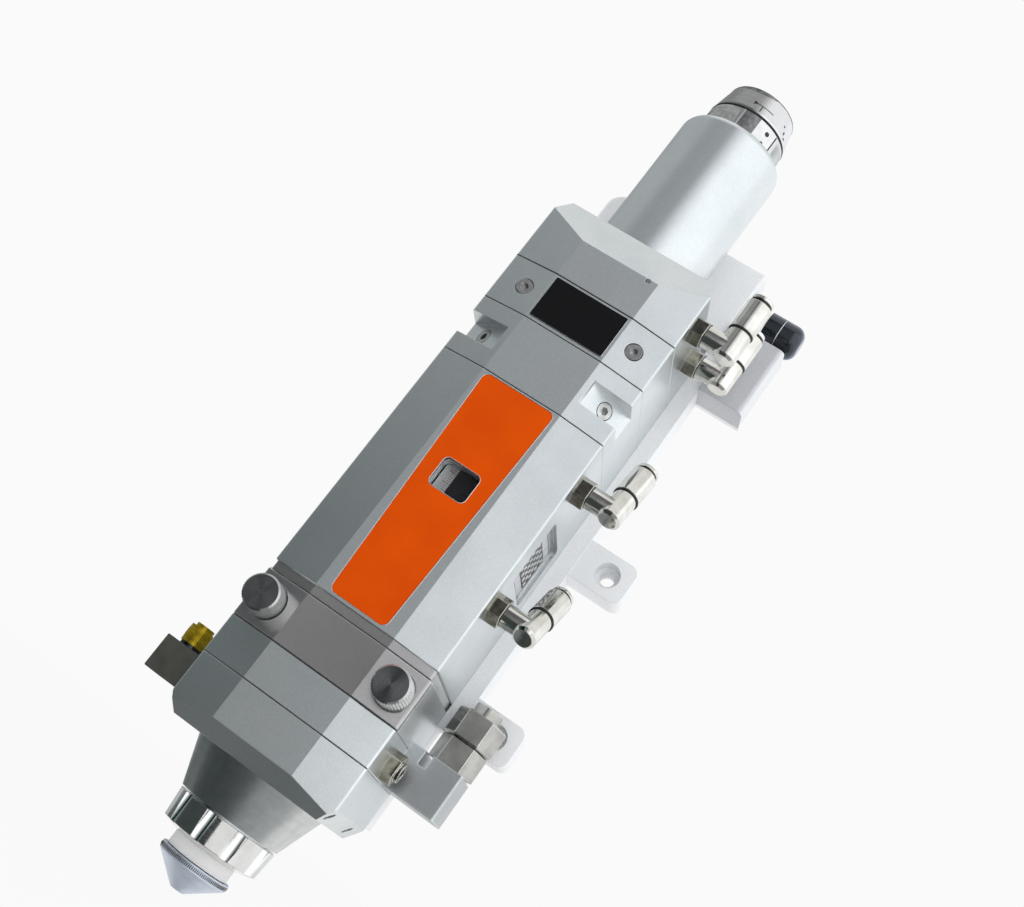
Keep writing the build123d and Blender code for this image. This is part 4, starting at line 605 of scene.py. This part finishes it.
knurl_step, knurl_stud = radians(1.9), (9.4 * mm, 0.5 * mm, 0.3 * mm)
for ring_name, count, first, sunk, tip, stud, slot, material in (
        ("base_knurl_front", 30, -66, 0.05 * mm, 0.35, knurl_stud, "polished_steel", screw_steel),
        ("base_knurl_right", 44, 62, 0.05 * mm, 0.35, knurl_stud, "polished_steel", strip_steel),
        ("base_index_line", 1, -5, 0.05 * mm, 1.0, (10.6 * mm, 0.35 * mm, 0.25 * mm), "polished_steel", cut_edge),
        ("base_slot_line", 1, 53, 0.02 * mm, 1.0, (9.6 * mm, 0.7 * mm, 0.08 * mm), "dark_steel", etched)):
    made_by(ring_tree, ring_name, "head", slot, Count=count, Radius=base_ring_r - sunk, Start=heading_of(first),
            Step=knurl_step, Tip=tip, Stud=stud, Place=(0, axis_y, base_ring_z + base_ring_h / 2), Finish=material)
hoop("lock_groove", "plug_lock", lock_low_r - 0.1 * mm, 0.45 * mm, (0, axis_y, lock_z + 0.35 * mm),
     slot="dark_steel", finish=etched)
hoop("lock_top_band", "plug_lock", 16.15 * mm, 0.55 * mm, (0, axis_y, taper_high_z + 0.15 * mm),
     slot="dark_steel", finish=dark_steel)

# Two blind pin holes in the base ring are shown as dark spots that stand just proud of it.
pin_turn, pin_sides = radians(38), 14
out, across = Vector((sin(pin_turn), -cos(pin_turn), 0)), Vector((cos(pin_turn), sin(pin_turn), 0))
for pin_name, level, pin_r in (("upper", 236.6 * mm, 1.15 * mm), ("lower", 231.2 * mm, 0.95 * mm)):
    middle = Vector((0, axis_y, level)) + out * (base_ring_r - 0.25 * mm)
    turns = [2 * pi * i / pin_sides for i in range(pin_sides)]
    outline = [middle + across * pin_r * cos(turn) + Vector((0, 0, pin_r * sin(turn))) for turn in turns]
    plate(f"pin_hole_{pin_name}", outline, 0.3 * mm, out, etched, "head", "dark_steel")

# The arrow is etched in the tapered ring: a thin line round it with a head at one end and a short stroke under it.
# A crescent at the ring's top and a smooth sector of the base ring are blackened.
taper = (lock_low_r - lock_high_r) / (taper_high_z - taper_low_z)


def lock_r(level):
    """Radius of the lock ring's taper at a level."""
    return lock_low_r - taper * (level - taper_low_z)


def base_r(level):
    """Radius of the base ring, the same at every level."""
    return base_ring_r


def round_patch(name, low, high, first, last, body="plug_lock", radius_at=lock_r, material=etched, steps=12,
                swell=0.0):
    """A thin closed patch on a ring between two levels in millimetres and two azimuths, its top bowed by swell."""
    form = bmesh.new()
    rows = []
    for proud in (-0.1 * mm, 0.05 * mm):
        for level, bow in ((low, swell), (high, 0.0)):
            row = []
            for i in range(steps + 1):
                turn = radians(first + (last - first) * i / steps)
                here = (level - bow * sin(pi * i / steps)) * mm
                reach = radius_at(here) + proud
                row.append(form.verts.new((reach * sin(turn), axis_y - reach * cos(turn), here)))
            rows.append(row)
    for a, b in ((0, 1), (1, 3), (3, 2), (2, 0)):
        for i in range(steps):
            form.faces.new((rows[a][i], rows[a][i + 1], rows[b][i + 1], rows[b][i]))
    for i in (0, steps):
        form.faces.new((rows[0][i], rows[1][i], rows[3][i], rows[2][i]))
    mesh_piece(name, form, material, body, "dark_steel")


round_patch("arrow_line", 246.2, 246.6, -1, 30)
round_patch("arrow_stroke", 242.9, 246.3, 10.5, 12.2, steps=2)
for i, (low, high, at) in enumerate(((245.4, 247.4, -1.5), (245.7, 247.1, 0.3), (246.0, 246.8, 2.0))):
    round_patch(f"arrow_head_{i + 1}", low, high, at - 1.0, at + 1.0, steps=2)
lock_marks = ((247.5, 248.3, 55, 58), (244.6, 246.0, 60, 63), (243.2, 243.9, 64, 69))
for i, (low, high, first, last) in enumerate(lock_marks):
    round_patch(f"lock_mark_{i + 1}", low, high, first, last, steps=3)
round_patch("lock_crescent", 253.8, 254.1, -40, 24, material=dark_steel, swell=1.3)
round_patch("base_sector", 229.8, 240.2, -3, 20, body="head", radius_at=base_r, material=dark_steel)

# ------------------------------------------------------------------------------
# Lower end: a polished, slotted nut holds a white ceramic ring in the cone, and the nozzle screws into the ceramic.
# The nozzle is hard plated to a cool blue grey, and its rim is knurled so that it can be turned by hand.
# ------------------------------------------------------------------------------
nozzle_rim_r, nozzle_rim_z, nozzle_rim_t = 15.0 * mm, -145.6 * mm, 2.6 * mm
nut_steel = varied("polished_nut", (0.78, 0.78, 0.77), 0.09, 1.0, rough=(0.07, 0.14, 260, 3, (1, 1, 6)),
                   tones=((0.70, 0.70, 0.69), (0.82, 0.82, 0.81), 90),
                   relief=(0.04, 0.00001, 1400, 2, (1, 1, 8)), edge=0.0005)
dress(nut_steel, "lock_nut")
cone_finish = turned_finish("turned_cone", (0.66, 0.67, 0.67), 0.34, (0, axis_y, 0), "Z", ring_scale=1300.0,
                            anisotropy=0.0, dark=0.97, relief=0.04)
dress(cone_finish, "sensor_cone")
ceramic = varied("glazed_ceramic", (0.80, 0.80, 0.79), 0.35, tones=((0.76, 0.76, 0.75), (0.83, 0.83, 0.82), 70, 3),
                 rough=(0.3, 0.42, 500), relief=(0.08, 0.00002, 1600),
                 more=[("Subsurface Weight", 0.1), ("Subsurface Scale", 0.001)])
dress(ceramic, "ceramic_ring")
nozzle_finish = turned_finish("plated_nozzle", (0.58, 0.64, 0.74), 0.34, (0, axis_y, 0), "Z", ring_scale=1600.0,
                              anisotropy=0.4, dark=0.92, relief=0.1, metallic=0.5)
dress(nozzle_finish, "nozzle")
nozzle_ribs = 120
made_by(ring_tree, "nozzle_knurl", "tip", "nozzle_plate", Count=nozzle_ribs, Radius=nozzle_rim_r - 0.05 * mm,
        Start=0.0, Step=2 * pi / nozzle_ribs, Tip=0.4, Stud=(1.7 * mm, 0.5 * mm, 0.3 * mm),
        Place=(0, axis_y, nozzle_rim_z - nozzle_rim_t / 2), Finish=dark_steel)

# ------------------------------------------------------------------------------
# Drive box and its cable connector: the box is a casting with a textured grey front and a painted highlight on
# its right end. The connector is black glass-filled plastic, closed by a smooth domed cap with a thin pale sealing
# ring.
# ------------------------------------------------------------------------------
connector_x, connector_y, connector_z = 59.8 * mm, -9.0 * mm, 179.8 * mm
cast_finish = varied("cast_housing", (0.62, 0.63, 0.66), 0.5, 0.45, rough=(0.45, 0.55, 60),
                     tones=((0.54, 0.55, 0.57), (0.58, 0.59, 0.62), 900, 3), relief=(0.15, 0.00004, 900, 3),
                     edge=0.0006)
# Faces of the box turned to the right are painted pale: a painted highlight from the key light.
paint_light_by_facing(cast_finish, "X", 0.5, 0.8, (0.76, 0.77, 0.78))
dress(cast_finish, "drive_box")
black_plastic = varied("black_plastic", (0.004, 0.005, 0.008), 0.2, rough=(0.15, 0.24, 300, 3),
                       relief=(0.05, 0.00002, 1500), edge=0.0003,
                       more=[("Coat Weight", 0.6), ("Coat Roughness", 0.06), ("Coat Tint", (0.6, 0.75, 1.0, 1))])
dress(black_plastic, "cable_connector", "connector_cap", "connector_insulator")
hoop("cap_seal", "socket_cap", 8.0 * mm, 0.3 * mm, (connector_x + 0.3 * mm, connector_y, connector_z),
     turn=facing_right, finish=strip_steel)

# ------------------------------------------------------------------------------
# Push-in fittings: nickel plated brass. A hex stem screws into the housing, the elbow swivels on it, and a sleeve
# with a release collar takes the tube. Black O-rings show at the foot of each sleeve, under the collar and the hex.
# The ring at the mouth is low and the band on the collar thin, so that the collar can be pressed in past them.
# ------------------------------------------------------------------------------
port_x, port_h, neck_h, band_h = 55.5 * mm, 24.0 * mm, 9.0 * mm, 24.8 * mm
fittings = {"high": (-66.3 * mm, 50.1 * mm, 22), "low": (-65.6 * mm, -7.0 * mm, 36),
            "cap_front": (-68.2 * mm, 133.3 * mm, 0), "cap_rear": (-39.0 * mm, 133.5 * mm, 0)}
fitting_rings = (("neck_ring", "elbow", 5.0 * mm, 0.62 * mm, neck_h),
                 ("mouth_ring", "elbow", 4.55 * mm, 0.27 * mm, port_h),
                 ("stem_band", "collar", 4.1 * mm, 0.16 * mm, band_h))
nickel = varied("nickel_plate", (0.70, 0.69, 0.64), 0.08, 1.0, rough=(0.06, 0.12, 480),
                tones=((0.62, 0.61, 0.56), (0.76, 0.75, 0.71), 150, 4), relief=(0.04, 0.00002, 800), edge=0.0006)
# A darker copy of the nickel for the hex stems and the side plug: painted shade in place of dark reflections.
shaded_nickel = varied("shaded_nickel", (0.28, 0.27, 0.22), 0.09, 1.0, rough=(0.07, 0.12, 480),
                     tones=((0.18, 0.17, 0.13), (0.36, 0.34, 0.28), 320, 4), relief=(0.05, 0.00002, 700),
                     edge=0.0006, bright=(0.86, 0.85, 0.78))
dress(shaded_nickel, "fitting_stems")
for fitting_name, (bend_y, bend_z, lean) in fittings.items():
    dress(nickel, f"elbow_{fitting_name}", f"collar_{fitting_name}")
    tilt = radians(lean)
    for ring_name, part, radius, thickness, height in fitting_rings:
        place = (port_x, bend_y + height * sin(tilt), bend_z + height * cos(tilt))
        hoop(f"{ring_name}_{fitting_name}", f"{fitting_name}_{part}", radius, thickness, place, turn=(-tilt, 0, 0))
    hoop(f"stem_ring_{fitting_name}", "head", 4.75 * mm, 0.45 * mm, (half_w + 0.3 * mm, bend_y, bend_z),
         turn=facing_right)

# ------------------------------------------------------------------------------
# Assist-gas inlet and side plug: a stainless hex fitting and hose nut in an anodised block, and a nickel hex plug.
# The stainless is darker and duller than the nickel, with marks from the spanner; its lightened edges are partly
# abraded and partly a painted highlight.
# ------------------------------------------------------------------------------
gas_x, gas_y, gas_seal_z = 54.8 * mm, -27.5 * mm, -62.3 * mm
stainless = varied("stainless", (0.42, 0.41, 0.39), 0.2, 1.0, rough=(0.16, 0.24, 600, 2, (1, 1, 5)),
                   tones=((0.35, 0.34, 0.32), (0.48, 0.47, 0.44), 130, 4),
                   relief=(0.05, 0.00002, 900, 2, (1, 1, 6)), edge=0.0006, bright=(0.82, 0.82, 0.79))
dress(stainless, "gas_fitting", "gas_nut")
# The side plug takes the darker nickel: painted shade, with painted highlight on its edges.
dress(shaded_nickel, "side_plug")
hoop("gas_thread_seal", "head", 7.4 * mm, 0.5 * mm, (gas_x, gas_y, gas_seal_z))

# ------------------------------------------------------------------------------
# Height sensor socket on the left: a small dark sensor case with a gilt threaded connector on a black insulator.
# The connector's collar is cut with fine ribs so that the plug can be screwed on by hand.
# ------------------------------------------------------------------------------
sensor_x, sensor_y, collar_z, collar_ribs = -54.5 * mm, -44.0 * mm, -79.6 * mm, 40
sensor_case = varied("sensor_case", (0.10, 0.10, 0.085), 0.45, 0.5, relief=(0.2, 0.00003, 1500), edge=0.0004,
                     tones=((0.085, 0.085, 0.072), (0.12, 0.12, 0.102), 110, 4))
dress(sensor_case, "sensor_block")
gilt = varied("gilt", (0.52, 0.36, 0.012), 0.33, 0.75, tones=((0.42, 0.29, 0.01), (0.60, 0.43, 0.02), 300, 3),
              relief=(0.15, 0.00003, 900, 2, (1, 1, 5)), edge=0.0004)
dress(gilt, "sensor_connector")
made_by(ring_tree, "sensor_collar_ribs", "head", "gilt", Count=collar_ribs, Radius=5.45 * mm, Start=0.0,
        Step=2 * pi / collar_ribs, Tip=0.4, Stud=(5.6 * mm, 0.5 * mm, 0.16 * mm),
        Place=(sensor_x, sensor_y, collar_z), Finish=gilt)

# ------------------------------------------------------------------------------
# Studio: a plain pale floor far under the head, which hangs from its mounting, a soft key from the right front, a
# soft box behind on the right, and a ring of pale and dark cards with three low ones that only show in reflections.
# ------------------------------------------------------------------------------
floor_z, floor_half = -0.5, 12.0
light_level, backdrop_level, floor_level = 0.93, 0.956, 0.84


def seen_directly(tree):
    """1 for camera, glossy and transmission rays, and 0 for the light that falls on things."""
    path = node(tree, "ShaderNodeLightPath")
    total = path.outputs["Is Camera Ray"]
    for label in ("Is Glossy Ray", "Is Transmission Ray"):
        more = node(tree, "ShaderNodeMath", operation="MAXIMUM")
        tree.links.new(total, more.inputs[0])
        tree.links.new(path.outputs[label], more.inputs[1])
        total = more.outputs[0]
    return total


world = bpy.data.worlds.new("studio")
scene.world = world
world.use_nodes = True
tree = world.node_tree
backdrop = tree.nodes["Background"]
backdrop.inputs["Color"].default_value = (1, 1, 1, 1)
tree.links.new(between(tree, seen_directly(tree), light_level, backdrop_level, start=0.0, end=1.0),
               backdrop.inputs["Strength"])

floor_mesh = bpy.data.meshes.new("floor")
floor_mesh.from_pydata([(x, y, floor_z) for x, y in oblong((0, 0), (floor_half, floor_half))], [], [(0, 1, 2, 3)])
floor = bpy.data.objects.new("floor", floor_mesh)
scene.collection.objects.link(floor)
pale, tree, shader = finish_of("pale_floor", (0.8, 0.8, 0.8), roughness=0.9)
tree.links.new(between(tree, pattern(tree, 6), (0.87, 0.87, 0.87), (0.89, 0.89, 0.89)), shader.inputs["Base Color"])
shader.inputs["Specular IOR Level"].default_value = 0.0
glow = node(tree, "ShaderNodeEmission")
glow.inputs["Strength"].default_value = floor_level
soft = node(tree, "ShaderNodeBsdfDiffuse")
soft.inputs["Color"].default_value = (0.115, 0.115, 0.115, 1)
both = node(tree, "ShaderNodeAddShader")
choice = node(tree, "ShaderNodeMixShader")
tree.links.new(glow.outputs[0], both.inputs[0])
tree.links.new(soft.outputs[0], both.inputs[1])
tree.links.new(seen_directly(tree), choice.inputs[0])
tree.links.new(shader.outputs[0], choice.inputs[1])
tree.links.new(both.outputs[0], choice.inputs[2])
tree.links.new(choice.outputs[0], tree.nodes["Material Output"].inputs["Surface"])
floor_mesh.materials.append(pale)


def flag(name, points, faces, material):
    """A card that shows only in reflections."""
    mesh = bpy.data.meshes.new(name)
    mesh.from_pydata(points, [], faces)
    mesh.materials.append(material)
    card = bpy.data.objects.new(name, mesh)
    scene.collection.objects.link(card)
    card.visible_camera = card.visible_diffuse = card.visible_shadow = False
    card.visible_transmission = card.visible_volume_scatter = False


def card_finish(name, low_tone, high_tone):
    """A card whose tone changes with height."""
    material = bpy.data.materials.new(name)
    material.use_nodes = True
    tree = material.node_tree
    tree.nodes.remove(tree.nodes["Principled BSDF"])
    place, split = node(tree, "ShaderNodeTexCoord"), node(tree, "ShaderNodeSeparateXYZ")
    tree.links.new(place.outputs["Object"], split.inputs[0])
    rise = between(tree, split.outputs["Z"], 0.0, 1.0, start=tone_low_z, end=tone_high_z)
    tone = node(tree, "ShaderNodeEmission")
    tree.links.new(mixed(tree, rise, low_tone, high_tone), tone.inputs["Color"])
    tree.links.new(tone.outputs[0], tree.nodes["Material Output"].inputs["Surface"])
    return material


card_r, card_low, card_high, card_steps = 2.4, -1.1, 3.0, 8
tone_low_z, tone_high_z = 0.2, 1.0
card_tones = [(-178, -120, (0.52, 0.54, 0.54), (0.40, 0.42, 0.43)),
              (-120, -60, (0.20, 0.24, 0.24), (0.48, 0.50, 0.50)),
              (-60, -24, (0.00, 0.02, 0.02), (0.31, 0.33, 0.33)),
              (-24, -18, (0.42, 0.44, 0.44), (0.38, 0.39, 0.41)),
              (-18, -8, (0.17, 0.175, 0.175), (0.14, 0.14, 0.155)),
              (-8, 1, (0.58, 0.60, 0.62), (0.58, 0.59, 0.62)),
              (1, 14, (0.86, 0.88, 0.89), (0.96, 0.97, 1.00)),
              (14, 95, (1.40, 1.43, 1.44), (1.40, 1.43, 1.46)),
              (95, 150, (1.18, 1.20, 1.22), (1.18, 1.20, 1.22)),
              (150, 178, (0.82, 0.84, 0.86), (1.08, 1.10, 1.12))]
for i, (first, last, low_tone, high_tone) in enumerate(card_tones):
    columns = [radians(first + (last - first) * step / card_steps) for step in range(card_steps + 1)]
    points = [(card_r * sin(a), card_r * -cos(a), z) for a in columns for z in (card_low, card_high)]
    faces = [(2 * k, 2 * k + 2, 2 * k + 3, 2 * k + 1) for k in range(card_steps)]
    flag(f"round_card_{i + 1}", points, faces, card_finish(f"card_tone_{i + 1}", low_tone, high_tone))
low_card_z = -0.46
for card_name, (x0, y0), (x1, y1), tone in (("low_front", (-2.3, -2.3), (0.14, 0.08), (0.055, 0.065, 0.065)),
                                            ("low_left", (-2.3, 0.08), (-0.7, 2.3), (0.10, 0.12, 0.12)),
                                            ("low_right", (0.14, -1.0), (0.7, 0.12), (0.34, 0.36, 0.36))):
    points = [(x, y, low_card_z) for x, y in ((x0, y0), (x1, y0), (x1, y1), (x0, y1))]
    flag(card_name, points, [(0, 1, 2, 3)], card_finish(f"{card_name}_tone", tone, tone))


def soft_box(name, place, aim, width, height, level):
    """An area light that faces a point, with the radiance given."""
    data = bpy.data.lights.new(name, "AREA")
    data.shape, data.size, data.size_y = "RECTANGLE", width, height
    data.energy = level * pi * width * height
    lamp = bpy.data.objects.new(name, data)
    scene.collection.objects.link(lamp)
    lamp.location = place
    lamp.rotation_euler = (Vector(aim) - Vector(place)).to_track_quat("-Z", "Y").to_euler()
    lamp.visible_glossy = False


middle = (0.0, -0.04, 0.03)
soft_box("key", (1.3, -1.3, 0.35), middle, 1.2, 1.4, 0.85)
soft_box("right_rear", (0.62, 2.1, 0.72), middle, 1.9, 1.9, 0.25)

camera_data = bpy.data.cameras.new("camera")
camera_data.sensor_width = 36.0
camera_data.lens = 48.311
camera_data.clip_end = 60.0
camera = bpy.data.objects.new("camera", camera_data)
scene.collection.objects.link(camera)
camera.location = (0.14308, -0.5706, -0.10382)
camera.rotation_euler = (radians(110.013), radians(-35.262), radians(3.059))
scene.camera = camera
scene.view_settings.view_transform = "Standard"
